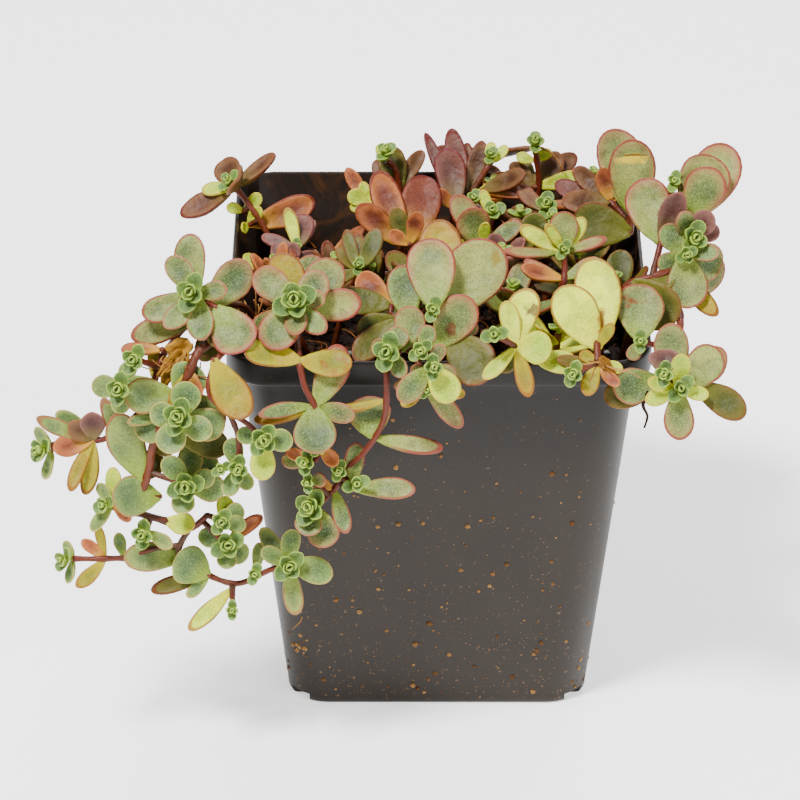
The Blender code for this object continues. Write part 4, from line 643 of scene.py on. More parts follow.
def core_blades(joint, size, pairs):
    """The young leaves at a joint: opposite pairs, each pair turned a right angle to the last,
    smaller and more upright towards the middle."""
    noon, three = clock_frame(joint.faces)
    blades = []
    for pair in range(pairs):
        share = 1 - pair / joint.core.pairs
        lean = math.radians(min(84, 72 - 48 * share))
        length = size * joint.core.reach * (0.5 + 0.64 * share)
        root = joint.at + joint.faces * (CORE_LIFT + size * CORE_RISE * (pair + 0.5))
        for side in (0, 180):
            angle = math.radians(joint.core.turn + (90 + CORE_DRIFT) * pair + side)
            flat = noon * math.cos(angle) + three * math.sin(angle)
            along = flat * math.cos(lean) + joint.faces * math.sin(lean)
            face = (joint.faces - along * joint.faces.dot(along)).normalized()
            width = length * (0.92 - 0.12 * share)
            blades.append(Blade(root, along, face, length, width, "young"))
    return blades


def half_width(share):
    """Outline of a spoon-shaped leaf, as a share of its half width: a narrower foot, widest past
    the middle of its length, and a round tip."""
    if share < WIDEST:
        return 0.34 + 0.66 * math.sin(0.5 * math.pi * share / WIDEST) ** 1.3
    return math.sqrt(max(0.0, 1 - ((share - WIDEST) / (1 - WIDEST)) ** 2))


def young_width(share):
    """Outline of a young leaf, as a share of its half width: broad from its foot, with a round tip."""
    if share < WIDEST:
        return 0.58 + 0.42 * math.sin(0.5 * math.pi * share / WIDEST)
    return math.sqrt(max(0.0, 1 - ((share - WIDEST) / (1 - WIDEST)) ** 2))


# The last ring of a leaf's solid: the least length of leaf that has it, the share of its length at
# which it lies, and how far its keel reaches
SOLID_RINGS = ((LONG_LEAF, 0.88, 1.0), (SMALL_LEAF, 0.82, 1.0), (YOUNG_LEAF, 0.82, 1.2), (0.0, 0.62, 1.2))


def feelers(blade):
    """Corners of a leaf's solid that stand free of its stem: its tip, its edges and its keel."""
    side = blade.along.cross(blade.face)
    thick = LEAF_HALF_THICKNESS + LEAF_THICKENING * blade.length
    share, keel = next(ring[1:] for ring in SOLID_RINGS if blade.length >= ring[0])
    wide = 0.5 * blade.width * half_width(share)
    deep = thick * (1 - 0.45 * share)
    spoon = -4 * LEAF_SPOON * blade.length * share * (1 - share)
    middle = blade.root + blade.along * blade.length * share + blade.face * spoon
    lift = blade.face * LEAF_CUP * wide
    tip = blade.root + blade.along * blade.length
    return tip, middle - side * wide + lift, middle + side * wide + lift, middle - blade.face * deep * keel


def turned(blade, tilt, swing, size):
    """The same leaf, tilted off its face, swung sideways and grown to another size."""
    side = blade.along.cross(blade.face)
    turn = Matrix.Rotation(math.radians(swing), 3, blade.face) @ Matrix.Rotation(math.radians(tilt), 3, side)
    return blade._replace(
        along=turn @ blade.along, face=turn @ blade.face,
        length=blade.length * size, width=blade.width * size,
    )


# What the solids' leaves and cores may have been given to clear their neighbours: turns in degrees
# and shares of their size. A leaf or core that misses its solid by LOST, in millimetres, isn't
# there, and one that misses it by FOUND is
TILTS = (0, 7, -7, 14, -14, 22, -22, 30, -30)
SWINGS = (0, 9, -9, 18, -18)
SIZES = (1.0, 0.8, 0.6)
CORE_SIZES = (1.0, 0.85, 0.7, 0.55)
LOST = 0.45
FOUND = 0.01
FAR = 1.0


def trial_turns():
    """The turns that the solids' leaves may have been given, the smallest first."""
    turns = [(tilt, swing) for tilt in TILTS for swing in SWINGS]
    turns.sort(key=lambda turn: abs(turn[0]) + 1.5 * abs(turn[1]))
    return [(tilt, swing, size) for size in SIZES for tilt, swing in turns]


TURNS = trial_turns()


def miss(places, solid):
    """How far these places lie from a solid's surface on average, none of them counted past FAR."""
    return sum(min(solid.find_nearest(place)[3], FAR) for place in places) / len(places)


def as_built(blade, solid):
    """The leaf as its solid holds it, bent clear of its neighbours, or None if it isn't there."""
    best, least = None, LOST
    for tilt, swing, size in TURNS:
        trial = turned(blade, tilt, swing, size)
        missed = miss(feelers(trial), solid)
        if missed < least - FOUND:
            best, least = trial, missed
        if missed < FOUND:
            break
    return best


def core_size(joint, solid):
    """The size that a core has in its solid, or None if it isn't there."""
    best, least = None, LOST
    for size in CORE_SIZES:
        blades = core_blades(joint, size, max(1, joint.core.pairs - 1))
        missed = miss([blade.root + blade.along * blade.length for blade in blades], solid)
        if missed < least - FOUND:
            best, least = size, missed
    return best


class Skin:
    """Points and faces of one piece, with what its finishes read at each point: how far along its
    leaf or stem it lies, how many millimetres from the leaf's margin, whether it is underneath,
    and two draws that each leaf has of its own."""

    MARKS = ("along", "rim", "under", "tint", "blush")

    def __init__(self):
        self.points = []
        self.faces = []
        self.finish_of_face = []
        self.finishes = []
        self.marks = {mark: [] for mark in self.MARKS}

    def add(self, points, faces, finish, marks, tint, blush):
        """Adds one closed form. marks holds the first three marks of each of its points."""
        start = len(self.points)
        if finish not in self.finishes:
            self.finishes.append(finish)
        self.points += points
        self.faces += [tuple(start + corner for corner in face) for face in faces]
        self.finish_of_face += [self.finishes.index(finish)] * len(faces)
        for mark, values in zip(self.MARKS, zip(*marks)):
            self.marks[mark] += values
        self.marks["tint"] += [tint] * len(points)
        self.marks["blush"] += [blush] * len(points)

    def piece(self, name, finishes):
        """Makes one object of all that was added."""
        mesh = bpy.data.meshes.new(name)
        mesh.from_pydata([point * MM for point in self.points], [], self.faces)
        for finish in self.finishes:
            mesh.materials.append(finishes[finish])
        mesh.polygons.foreach_set("material_index", self.finish_of_face)
        mesh.polygons.foreach_set("use_smooth", [True] * len(self.faces))
        for mark, values in self.marks.items():
            attribute = mesh.attributes.new(mark, "FLOAT", "POINT")
            attribute.data.foreach_set("value", values)
        mesh.update()
        made = bpy.data.objects.new(name, mesh)
        bpy.context.scene.collection.objects.link(made)
        return made


def ring_faces(rings, around):
    """Faces of a closed form: a point, rings of equal count and a last point."""
    faces = [(0, 1 + (step + 1) % around, 1 + step) for step in range(around)]
    for ring in range(rings - 1):
        for step in range(around):
            a = 1 + around * ring + step
            b = 1 + around * ring + (step + 1) % around
            faces.append((a, b, b + around, a + around))
    last = 1 + around * (rings - 1)
    tip = 1 + around * rings
    faces.extend((last + step, last + (step + 1) % around, tip) for step in range(around))
    return faces


def leaf_shares(foot_shares, tip_turns):
    """Where along a leaf its rings lie: close together where its tip rounds off."""
    round_end = [WIDEST + (1 - WIDEST) * math.sin(math.radians(turn)) for turn in tip_turns]
    return [*foot_shares, *round_end]


def leaf_body(blade, young, draw):
    """How full, cupped and wavy one leaf is. A slim leaf is nearly as thick as it is wide, and a
    sunburnt or bronze one folds up its sides like a boat."""
    slim = max(0.0, SLIM - blade.width / blade.length)
    fullness = draw.uniform(1.0, 1.2) * (1 + 2.2 * slim)
    cup = 1.15 * LEAF_CUP
    if young:
        fullness, cup = 1.0, draw.uniform(*YOUNG_CUP)
    elif blade.tone in BOAT_TONES:
        fullness, cup = 1.25 * fullness, draw.uniform(*BOAT_CUP)
    return fullness, cup, draw.uniform(0.0, 0.05), draw.uniform(0, 2 * math.pi)


def leaf_section(blade, share, outline, fullness):
    """Half width of a leaf at one share of its length, and how far its lower and upper faces
    swell there."""
    thick = LEAF_HALF_THICKNESS + LEAF_THICKENING * blade.length
    blunt = outline ** 0.4 if share > WIDEST else 1.0
    deep = fullness * thick * (1 - 0.38 * share) * blunt
    deep = min(deep, 0.42 * blade.width * max(outline, 0.3))
    return 0.5 * blade.width * outline, deep


def grow_leaf(skin, blade, finish, draw):
    """A fleshy leaf: a hollowed upper face with a faint groove along it, a full lower face, and a
    thick round margin between."""
    young = finish == "young"
    around = YOUNG_AROUND if young else LEAF_AROUND
    shares = leaf_shares(*(YOUNG_RINGS if young else LEAF_RINGS))
    side = blade.along.cross(blade.face)
    fullness, cup, ripple, phase = leaf_body(blade, young, draw)
    crook = draw.uniform(-LEAF_CROOK, LEAF_CROOK) * blade.length
    points = [blade.root - blade.along * LEAF_FOOT * 0.8]
    marks = [(0.0, 0.25 * blade.width, 0.5)]
    for share in shares:
        outline = young_width(share) if young else half_width(share) * min(1.0, 0.6 + 3 * share)
        wide, deep = leaf_section(blade, share, outline, fullness)
        wide *= 1 + ripple * math.sin(9 * share + phase) * share
        spoon = -4 * LEAF_SPOON * blade.length * share * (1 - share)
        middle = blade.root + blade.along * blade.length * share + blade.face * spoon
        middle += side * crook * 4 * share * (1 - share)
        for step in range(around):
            angle = 2 * math.pi * step / around
            across, up = math.cos(angle), math.sin(angle)
            swell = (UPPER_SWELL if up > 0 else -1.0) * deep * abs(up) ** SWELL_ROUNDNESS
            groove = GROOVE_DEPTH * deep * math.exp(-((across / GROOVE_WIDTH) ** 2)) if up > 0 else 0.0
            wave = LEAF_WAVE * wide * math.sin(7 * share + phase + 2 * across)
            height = cup * wide * across * across + swell - groove + wave
            points.append(middle + side * wide * across + blade.face * height)
            if share > WIDEST:
                reach = math.hypot(across * outline, (share - WIDEST) / (1 - WIDEST))
            else:
                reach = abs(across)
            marks.append((share, (1 - reach) * 0.5 * blade.width, 1.0 if up < -0.01 else 0.0))
    points.append(blade.root + blade.along * blade.length)
    marks.append((1.0, 0.0, 0.3))
    faces = ring_faces(len(shares), around)
    ripe = min(1.0, max(0.0, (blade.length - 5) / 11 + draw.uniform(-0.3, 0.3)))
    skin.add(points, faces, finish, marks, ripe, draw.random())


def fine_route(route, foot_radius, tip_radius):
    """Points on a smooth curve through a stem's route, with a radius at each."""
    points, radii = [], []
    stretches = len(route) - 1
    for index in range(stretches):
        before, start = route[max(index - 1, 0)], route[index]
        end, after = route[index + 1], route[min(index + 2, stretches)]
        steps = max(2, math.ceil((end - start).length / STEM_STEP))
        for step in range(steps):
            t = step / steps
            bend = (end - before) * 0.5 * t
            bend += (before - start * 2.5 + end * 2 - after * 0.5) * t * t
            bend += (start * 1.5 - before * 0.5 - end * 1.5 + after * 0.5) * t ** 3
            points.append(start + bend)
            radii.append(foot_radius + (tip_radius - foot_radius) * (index + t) / stretches)
    points.append(route[-1])
    radii.append(tip_radius)
    return points, radii


def grow_tube(skin, points, radii, finish, tint, blush, around=STEM_AROUND):
    """A round stem, root or fibre along a line of points, with a closed round end."""
    toward = (points[1] - points[0]).normalized()
    across = toward.orthogonal().normalized()
    made = [points[0] - toward * radii[0] * 0.4]
    marks = [(0.0, 1.0, 0.0)]
    last = len(points) - 1
    for index, (point, radius) in enumerate(zip(points, radii)):
        heading = (points[min(index + 1, last)] - points[max(index - 1, 0)]).normalized()
        across = (across - heading * across.dot(heading)).normalized()
        other = heading.cross(across)
        for step in range(around):
            angle = -2 * math.pi * step / around
            made.append(point + (across * math.cos(angle) + other * math.sin(angle)) * radius)
            marks.append((index / last, 1.0, 0.0))
    made.append(points[-1] + (points[-1] - points[-2]).normalized() * radii[-1] * 0.5)
    marks.append((1.0, 1.0, 0.0))
    skin.add(made, ring_faces(len(points), around), finish, marks, tint, blush)


def grow_stem(skin, one, joints, draw):
    """A stem, swollen a little where its leaves sit and uneven as a living stem is."""
    points, radii = fine_route(one.route, one.foot_radius, one.tip_radius)
    phase = draw.uniform(0, 50)
    for index, point in enumerate(points):
        nearest = min((joint.at - point).length for joint in joints)
        radii[index] = STEM_SHRINK * radii[index] + JOINT_SWELL * max(0.0, 1 - nearest / JOINT_REACH)
        radii[index] *= 1 + STEM_UNEVENNESS * noise.noise(Vector((0.9 * index + phase, 0, 0)))
    grow_tube(skin, points, radii, "stem", draw.random(), one.foot_radius)


def nearest_on_stems(stems, place):
    """The point on a spray's stems that lies nearest to a place."""
    best = None
    for one in stems:
        points, _ = fine_route(one.route, 1.0, 1.0)
        for start, end in zip(points, points[1:]):
            run = end - start
            share = min(1.0, max(0.0, (place - start).dot(run) / run.length_squared))
            point = start + run * share
            if best is None or (point - place).length < (best - place).length:
                best = point
    return best


def grow_twigs(skin, one_spray, draw):
    """A short twig for each joint that stands off its stem."""
    for joint in one_spray.tufts:
        foot = nearest_on_stems(one_spray.stems, joint.at)
        if (foot - joint.at).length > TWIG_FROM:
            top = joint.at + (joint.at - foot).normalized() * 0.3
            points = [foot.lerp(top, step / 4) for step in range(5)]
            grow_tube(skin, points, [TWIG_RADIUS] * 5, "stem", draw.random(), 1.0)


def grow_core(skin, joint, size, draw):
    """A core: young leaves in pairs on a short axis, and a bud of two that still hold together."""
    blades = core_blades(joint, size, joint.core.pairs + 1)
    top = joint.at + joint.faces * (CORE_LIFT + size * CORE_RISE * joint.core.pairs)
    width = size * max(0.4, 0.15 * joint.core.reach)
    points = [joint.at.lerp(top, step / 3) for step in range(4)]
    grow_tube(skin, points, [width, width, 0.8 * width, 0.5 * width], "young", draw.random(), 1.0)
    for blade in blades:
        grow_leaf(skin, blade, "young", draw)


def tree_of(made):
    """A solid's surface in millimetres, for finding places on it."""
    return BVHTree.FromPolygons(
        [vertex.co / MM for vertex in made.data.vertices],
        [tuple(polygon.vertices) for polygon in made.data.polygons],
    )


TRAILING = ("left_trunk", "left_outer_stem", "left_inner_stem")

# A leaf over the bend of a stem, in the fine model alone
BENT_SPRAY = "right_lower_sprig"
OVER_THE_BEND = tuft((41.2, -30.5, 104.7), leaf(4.6, 11.4, 9, 0, 12, "olive"))


def finish_of(name, blade):
    """A leaf's tone is its finish, but the stems that hang in the shade of the pot stay fresher."""
    if blade.tone == "glaucous" and name in TRAILING:
        return "fresh"
    return blade.tone


def grow_spray(name, one_spray, place_draw, draw):
    """All of one spray: its stems and twigs, and the cores and leaves that its solid holds."""
    solid = tree_of(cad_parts[name])
    skin = Skin()
    for one in one_spray.stems:
        grow_stem(skin, one, one_spray.tufts, draw)
    grow_twigs(skin, one_spray, draw)
    for joint in one_spray.tufts:
        size = core_size(joint, solid) if joint.core else None
        if size:
            grow_core(skin, joint, size, draw)
        for row in joint.leaves:
            blade = as_built(listed_blade(joint, row, one_spray.tone, place_draw), solid)
            if blade:
                grow_leaf(skin, blade, finish_of(name, blade), draw)
    return skin


def grow_over_the_bend(skin):
    """The leaf that hides where a stem bends, with draws of its own."""
    draw = random.Random(SEED + 5)
    for row in OVER_THE_BEND.leaves:
        grow_leaf(skin, listed_blade(OVER_THE_BEND, row, row.tone, draw), row.tone, draw)


def dress_plant(finishes):
    """One smooth piece for each spray, in place of its solid."""
    place_draw = random.Random(SEED)
    draw = random.Random(SEED + 1)
    for name, one_spray in SPRAYS.items():
        skin = grow_spray(name, one_spray, place_draw, draw)
        if name == BENT_SPRAY:
            grow_over_the_bend(skin)
        piece = skin.piece(name + "_plant", finishes)
        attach(piece, "root")
        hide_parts(name)


def rounded_square(width, corner, height, notched):
    """Points round a square with round corners. Where it is notched, each corner steps in square
    instead."""
    inset = width / 2 - corner
    points = []
    for quarter in range(4):
        turn = Matrix.Rotation(math.radians(90 * quarter), 3, "Z")
        for step in range(CORNER_STEPS + 1):
            share = step / CORNER_STEPS
            angle = math.radians(90 * share)
            x = inset + corner * math.cos(angle)
            y = inset + corner * math.sin(angle)
            if notched:
                x, y = notch_corner(corner, inset, share)
            points.append(turn @ Vector((x, y, height)))
    return points


def notch_corner(corner, inset, share):
    """A point on a round corner that has a square step cut into it."""
    if share > 0.5:
        y, x = notch_corner(corner, inset, 1 - share)
        return x, y
    turn = math.asin((NOTCH_FROM_CENTRE - inset) / corner)
    if share < NOTCH_START:
        turn *= share / NOTCH_START
        return inset + corner * math.cos(turn), inset + corner * math.sin(turn)
    edge = inset + corner * math.cos(turn)
    inwards = (share - NOTCH_START) / (0.5 - NOTCH_START)
    return edge + (NOTCH_FROM_CENTRE - edge) * inwards, NOTCH_FROM_CENTRE


def body_width(height):
    """Outer width of the pot below its rim band: it tapers evenly to the base."""
    return BASE_WIDTH + (BODY_TOP_WIDTH - BASE_WIDTH) * height / (POT_HEIGHT - RIM_BAND)


def dress_pot(finishes):
    """The moulded pot: outside from its base up, over the rim, and down the inside."""
    band = POT_HEIGHT - RIM_BAND
    floor = WALL
    step = NOTCH_HEIGHT
    outside = [
        (BASE_WIDTH - 1.6, 8.2, 0.0, True), (BASE_WIDTH - 0.4, 8.8, 0.25, True),
        (body_width(0.8), 9.0, 0.8, True), (body_width(step), 9.0, step, True),
        (body_width(step), 9.0, step + 0.04, False), (body_width(step), 9.0, step + 0.3, False),
    ]
    for height in range(6, 85, 6):
        outside.append((body_width(height), 9.0 + 0.4 * height / band, height, False))
    outside += [
        (body_width(band - 0.9), 9.4, band - 0.9, False), (body_width(band) + 0.3, 9.4, band - 0.35, False),
        (RIM_WIDTH - 1.6, 9.2, band, False), (RIM_WIDTH - 0.5, RIM_CORNER, band + 0.2, False),
        (RIM_WIDTH - 0.1, RIM_CORNER, band + 0.7, False), (RIM_WIDTH, RIM_CORNER, band + 1.4, False),
        (RIM_WIDTH, RIM_CORNER, POT_HEIGHT - 0.9, False),
        (RIM_WIDTH - 0.15, RIM_CORNER, POT_HEIGHT - 0.3, False), (RIM_WIDTH - 0.6, 8.8, POT_HEIGHT, False),
    ]
    wall = 2 * WALL
    inside = [
        (RIM_WIDTH - wall + 0.6, 8.2, POT_HEIGHT, False), (RIM_WIDTH - wall, 8.0, POT_HEIGHT - 0.4, False),
        (RIM_WIDTH - wall - 0.2, 8.0, band + 1.6, False), (BODY_TOP_WIDTH - wall, 8.3, band - 1.4, False),
        (body_width(70) - wall, 8.2, 70, False), (body_width(floor) - wall, 7.9, floor, False),
    ]
    points, marks = [Vector((0, 0, 0))], [(0.0, 1.0, 0.0)]
    for under, rings in ((0.0, outside), (1.0, inside)):
        for width, corner, height, notched in rings:
            ring = rounded_square(width, corner, height, notched)
            points += ring
            marks += [(height / POT_HEIGHT, 1.0, under)] * len(ring)
    points.append(Vector((0, 0, floor)))
    marks.append((0.0, 1.0, 1.0))
    faces = ring_faces(len(outside + inside), 4 * (CORNER_STEPS + 1))
    skin = Skin()
    skin.add(points, faces, "pot", marks, 0.5, 0.5)
    pot = skin.piece("moulded_pot", finishes)
    edges = pot.modifiers.new("hard_edges", "EDGE_SPLIT")
    edges.split_angle = math.radians(HARD_EDGE)
    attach(pot, "root")
    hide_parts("pot")


# A lump with twelve corners and twenty faces, and how far one is flattened
CRUMB_POINTS = [
    Vector(corner).normalized() for corner in (
        (0, 1, 1.618), (0, -1, 1.618), (0, 1, -1.618), (0, -1, -1.618), (1, 1.618, 0), (-1, 1.618, 0),
        (1, -1.618, 0), (-1, -1.618, 0), (1.618, 0, 1), (1.618, 0, -1), (-1.618, 0, 1), (-1.618, 0, -1),
    )
]
CRUMB_FACES = (
    (0, 1, 8), (0, 10, 1), (0, 8, 4), (0, 5, 10), (0, 4, 5), (1, 10, 7), (1, 6, 8), (1, 7, 6),
    (2, 9, 3), (2, 3, 11), (2, 4, 9), (2, 5, 4), (2, 11, 5), (3, 9, 6), (3, 7, 11), (3, 6, 7),
    (4, 8, 9), (5, 11, 10), (6, 9, 8), (7, 10, 11),
)
CRUMB_FLATTENING = 0.45


def add_crumb(skin, place, size, flat, finish, draw):
    """A small lump of its own shape, flattened along one direction."""
    spin = Matrix.Rotation(draw.uniform(0, 2 * math.pi), 3, draw_direction(draw))
    points = []
    for corner in CRUMB_POINTS:
        point = spin @ corner * size * draw.uniform(0.65, 1.15)
        points.append(place + point - flat * point.dot(flat) * CRUMB_FLATTENING)
    marks = [(0.0, 1.0, 0.0)] * len(points)
    skin.add(points, CRUMB_FACES, finish, marks, draw.random(), draw.random())


def draw_direction(draw):
    """Any direction, all of them as likely."""
    return Vector((draw.gauss(0, 1), draw.gauss(0, 1), draw.gauss(0, 1))).normalized()


# The loose bits on the soil: how many, and where they may lie
CRUMBS = 3200
FIBRES = 170
STONES = 16
DOWN = Vector((0, 0, -1))
ABOVE_ALL = 120.0
SOIL_REACH = 40.0
SOIL_LOWEST = 70.0


def soil_places(count, soil, draw):
    """Places on the soil's surface, with its upward direction there."""
    places = []
    while len(places) < count:
        x, y = draw.uniform(-SOIL_REACH, SOIL_REACH), draw.uniform(-SOIL_REACH, SOIL_REACH)
        place, normal, _, _ = soil.ray_cast(Vector((x, y, ABOVE_ALL)), DOWN)
        if place and place.z > SOIL_LOWEST:
            places.append((place, normal))
    return places


def dress_soil(finishes):
    """Crumbs of peat, fibres and pale grit on the surface of the soil."""
    soil = tree_of(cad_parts["soil"])
    draw = random.Random(SEED + 2)
    crumbs = Skin()
    for place, normal in soil_places(CRUMBS, soil, draw):
        size = 0.35 + 1.1 * draw.random() ** 3
        add_crumb(crumbs, place + normal * size * 0.2, size, normal, "crumb", draw)
    finish_piece(crumbs, "peat_crumbs", finishes)
    fibres = Skin()
    for place, normal in soil_places(FIBRES, soil, draw):
        heading = draw_direction(draw)
        heading = (heading - normal * heading.dot(normal)).normalized()
        points = fibre_line(place + normal * 0.5, heading, normal, draw)
        radius = draw.uniform(0.1, 0.2)
        grow_tube(fibres, points, [radius] * len(points), "fibre", draw.random(), 1.0, around=5)
    finish_piece(fibres, "peat_fibres", finishes)
    grit = Skin()
    for place, normal in soil_places(STONES, soil, draw):
        size = draw.uniform(0.5, 1.3)
        add_crumb(grit, place + normal * size * 0.6, size, normal, "stone", draw)
    finish_piece(grit, "pale_grit", finishes)
    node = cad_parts["soil"]
    node.data.materials.clear()
    node.data.materials.append(finishes["peat"])


def fibre_line(start, heading, normal, draw):
    """A loosely curled line that stays near the soil."""
    points = [start]
    turn = draw.uniform(-0.5, 0.5)
    step = draw.uniform(0.5, 1.3)
    for index in range(8):
        heading = Matrix.Rotation(turn + draw.uniform(-0.3, 0.3), 3, normal) @ heading
        points.append(points[-1] + heading * step + normal * 0.25 * math.sin(0.8 * index))
    return points


def finish_piece(skin, name, finishes):
    """A piece of loose bits, which rides with the pot."""
    piece = skin.piece(name, finishes)
    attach(piece, "root")


# Specks of dried soil on the pot: how many, their sizes, and where the clod and the root hair lie
SPECKS = 2600
SMALL_SPECK = 0.14
LARGE_SPECK = 0.8
CLOD_AT = (-30.6, 15.5)
CLOD_CRUMBS = 26
ROOT_HAIR = ((-29.6, 24), (-29.9, 22.6), (-30.8, 21), (-31.8, 19.4))
HAIR_RADIUS = 0.12
OUTSIDE = -70.0
INWARD = Vector((0, 1, 0))


def on_wall(pot, x, z, turn=Matrix.Identity(3)):
    """Where a straight line from outside meets the pot's front, or the side that turn gives, with
    the wall's outward direction there."""
    place, normal, _, _ = pot.ray_cast(turn @ Vector((x, OUTSIDE, z)), turn @ INWARD)
    return place, normal


def dress_pot_specks(finishes):
    """Specks of soil that dried on the pot's four walls, thicker towards its base, with a clod and
    a pale root hair near the lower front left corner."""
    pot = tree_of(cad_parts["pot"])
    draw = random.Random(SEED + 3)
    skin = Skin()
    for _ in range(SPECKS):
        turn = Matrix.Rotation(math.radians(90 * draw.randrange(4)), 3, "Z")
        height = 3 + 76 * draw.random() ** 1.6
        place, normal = on_wall(pot, draw.uniform(-33, 33), height, turn)
        if place:
            size = SMALL_SPECK + (LARGE_SPECK - SMALL_SPECK) * draw.random() ** 8
            add_crumb(skin, place, size, normal, "speck", draw)
    for _ in range(CLOD_CRUMBS):
        place, normal = on_wall(pot, CLOD_AT[0] + draw.gauss(0, 0.9), CLOD_AT[1] + draw.gauss(0, 1.5))
        if place:
            add_crumb(skin, place, draw.uniform(0.3, 0.9), normal, "speck", draw)
    line = [place + normal * 0.1 for place, normal in (on_wall(pot, x, z) for x, z in ROOT_HAIR)]
    points, radii = fine_route(line, HAIR_RADIUS, HAIR_RADIUS)
    grow_tube(skin, points, radii, "straw", 0.5, 1.0, around=5)
    finish_piece(skin, "soil_specks", finishes)


# Dry, dead bits of plant among the living ones, in millimetres: the routes of two strands, the foot,
# tip and width of each dried leaf, and the middle, count and spread of each tuft of fibres
DRY_TENDRIL = ((20.8, 33, 104.8), (22.8, 33, 104.9), (24.9, 33, 103.9), (26.7, 33, 102.2), (28.3, 32, 99.7))
TENDRIL_RADIUS = 0.3
DEAD_ROOT = ((43.6, -49.4, 88.6), (42.6, -50.6, 86), (43.6, -51, 83.6), (43, -51, 80.8))
ROOT_RADIUS = 0.36
DRIED_LEAVES = (
    ((-52.4, -43.4, 97.6), (-56.2, -44.6, 91.8), 6.5), ((-53.6, -44.4, 95.6), (-57.6, -46, 88.2), 4.5),
    ((-55, -44.2, 95.2), (-59, -45.6, 90.2), 3.0), ((33.4, -49.6, 97), (36.4, -50.6, 93.4), 2.6),
    ((10, 2, 93), (13, -3, 92), 3.0), ((-34, -18, 88), (-38, -22, 90.5), 3.0),
)
FIBRE_TUFTS = (((-39, -22, 88.5), 46, 3.4), ((-55.6, -45, 92.6), 26, 2.6), ((34.6, -50.4, 95.4), 5, 0.8))

# How a dried leaf is drawn: steps along and across it
DRIED_STEPS = (9, 7)
DRIED_HALF_THICKNESS = 0.16


def crumpled_leaf(skin, foot, tip, width, draw):
    """A dead leaf, shrunk to a thin curled scrap: two sheets with a rim between them."""
    foot, tip = Vector(foot), Vector(tip)
    along = (tip - foot).normalized()
    side = along.cross(Vector(FRONT)).normalized()
    up = side.cross(along)
    steps, across = DRIED_STEPS
    phase = draw.uniform(0, 50)
    sheets = ([], [])
    for step in range(steps + 1):
        share = step / steps
        wide = 0.5 * width * (0.3 + 0.7 * math.sin(math.pi * (0.12 + 0.83 * share)))
        wide *= 1 + 0.5 * noise.noise(Vector((5.5 * share + phase, 8, 0)))
        for place in range(across + 1):
            over = 2 * place / across - 1
            crease = noise.noise(Vector((2.6 * share + phase, 1.7 * over, 0)))
            height = 0.3 * width * (0.35 * over * over + crease)
            point = foot.lerp(tip, share) + side * wide * over * (0.75 + 0.5 * crease) + up * height
            sheets[0].append(point + up * DRIED_HALF_THICKNESS)
            sheets[1].append(point - up * DRIED_HALF_THICKNESS)
    row = across + 1
    count = len(sheets[0])
    faces = []
    for step in range(steps):
        for place in range(across):
            a = step * row + place
            faces.append((a, a + 1, a + row + 1, a + row))
            faces.append((count + a + row, count + a + row + 1, count + a + 1, count + a))
    rim = list(range(row)) + [step * row + across for step in range(1, steps + 1)]
    rim += [steps * row + place for place in range(across - 1, -1, -1)]
    rim += [step * row for step in range(steps - 1, 0, -1)]
    for here, there in zip(rim, rim[1:] + rim[:1]):
        faces.append((there, here, count + here, count + there))
    marks = [(0.5, 1.0, 0.0)] * (2 * count)
    skin.add(sheets[0] + sheets[1], faces, "dead", marks, draw.random(), draw.random())


def dress_loose_bits(finishes):
    """Dead leaves, fibres caught between the stems, a dry tendril and a dark root."""
    draw = random.Random(SEED + 4)
    leaves = Skin()
    for foot, tip, width in DRIED_LEAVES:
        crumpled_leaf(leaves, foot, tip, width, draw)
    finish_piece(leaves, "dead_leaves", finishes)
    fibres = Skin()
    for middle, count, spread in FIBRE_TUFTS:
        for _ in range(count):
            start = Vector(middle) + draw_direction(draw) * draw.uniform(0, spread)
            points = fibre_line(start, draw_direction(draw), draw_direction(draw), draw)
            radius = draw.uniform(0.09, 0.17)
            grow_tube(fibres, points, [radius] * len(points), "straw", draw.random(), 1.0, around=5)
    finish_piece(fibres, "caught_fibres", finishes)
    strands = Skin()
    for route, radius, finish in ((DRY_TENDRIL, TENDRIL_RADIUS, "straw"), (DEAD_ROOT, ROOT_RADIUS, "crumb")):
        points, radii = fine_route([Vector(place) for place in route], radius, 0.6 * radius)
        for index in range(len(radii)):
            radii[index] *= 1 + 0.9 * abs(noise.noise(Vector((0.8 * index, 3 * radius, 0))))
        grow_tube(strands, points, radii, finish, 0.3, 1.0, around=6)
    finish_piece(strands, "dry_strands", finishes)


def linear(colour):
    """An sRGB colour in hex as linear red, green and blue, with full alpha."""
    channels = [int(colour[i:i + 2], 16) / 255 for i in (1, 3, 5)]
    return [c / 12.92 if c <= 0.04045 else ((c + 0.055) / 1.055) ** 2.4 for c in channels] + [1.0]


def fill(tree, node, inputs):
    """Gives a node's inputs their values, or links them to another node's output."""
    for name, value in inputs.items():
        if isinstance(value, bpy.types.NodeSocket):
            tree.links.new(value, node.inputs[name])
        else:
            node.inputs[name].default_value = value


def add(tree, kind, inputs, output=0, **settings):
    """Adds a node with its settings and inputs, and gives back one of its outputs."""
    node = tree.nodes.new(kind)
    for name, value in settings.items():
        setattr(node, name, value)
    fill(tree, node, inputs)
    return node.outputs[output]


def new_finish(name):
    """A new material, its nodes and its shader."""
    made = bpy.data.materials.new(name)
    made.use_nodes = True
    return made, made.node_tree, made.node_tree.nodes["Principled BSDF"]


MIX_COLOUR = {"data_type": "RGBA"}

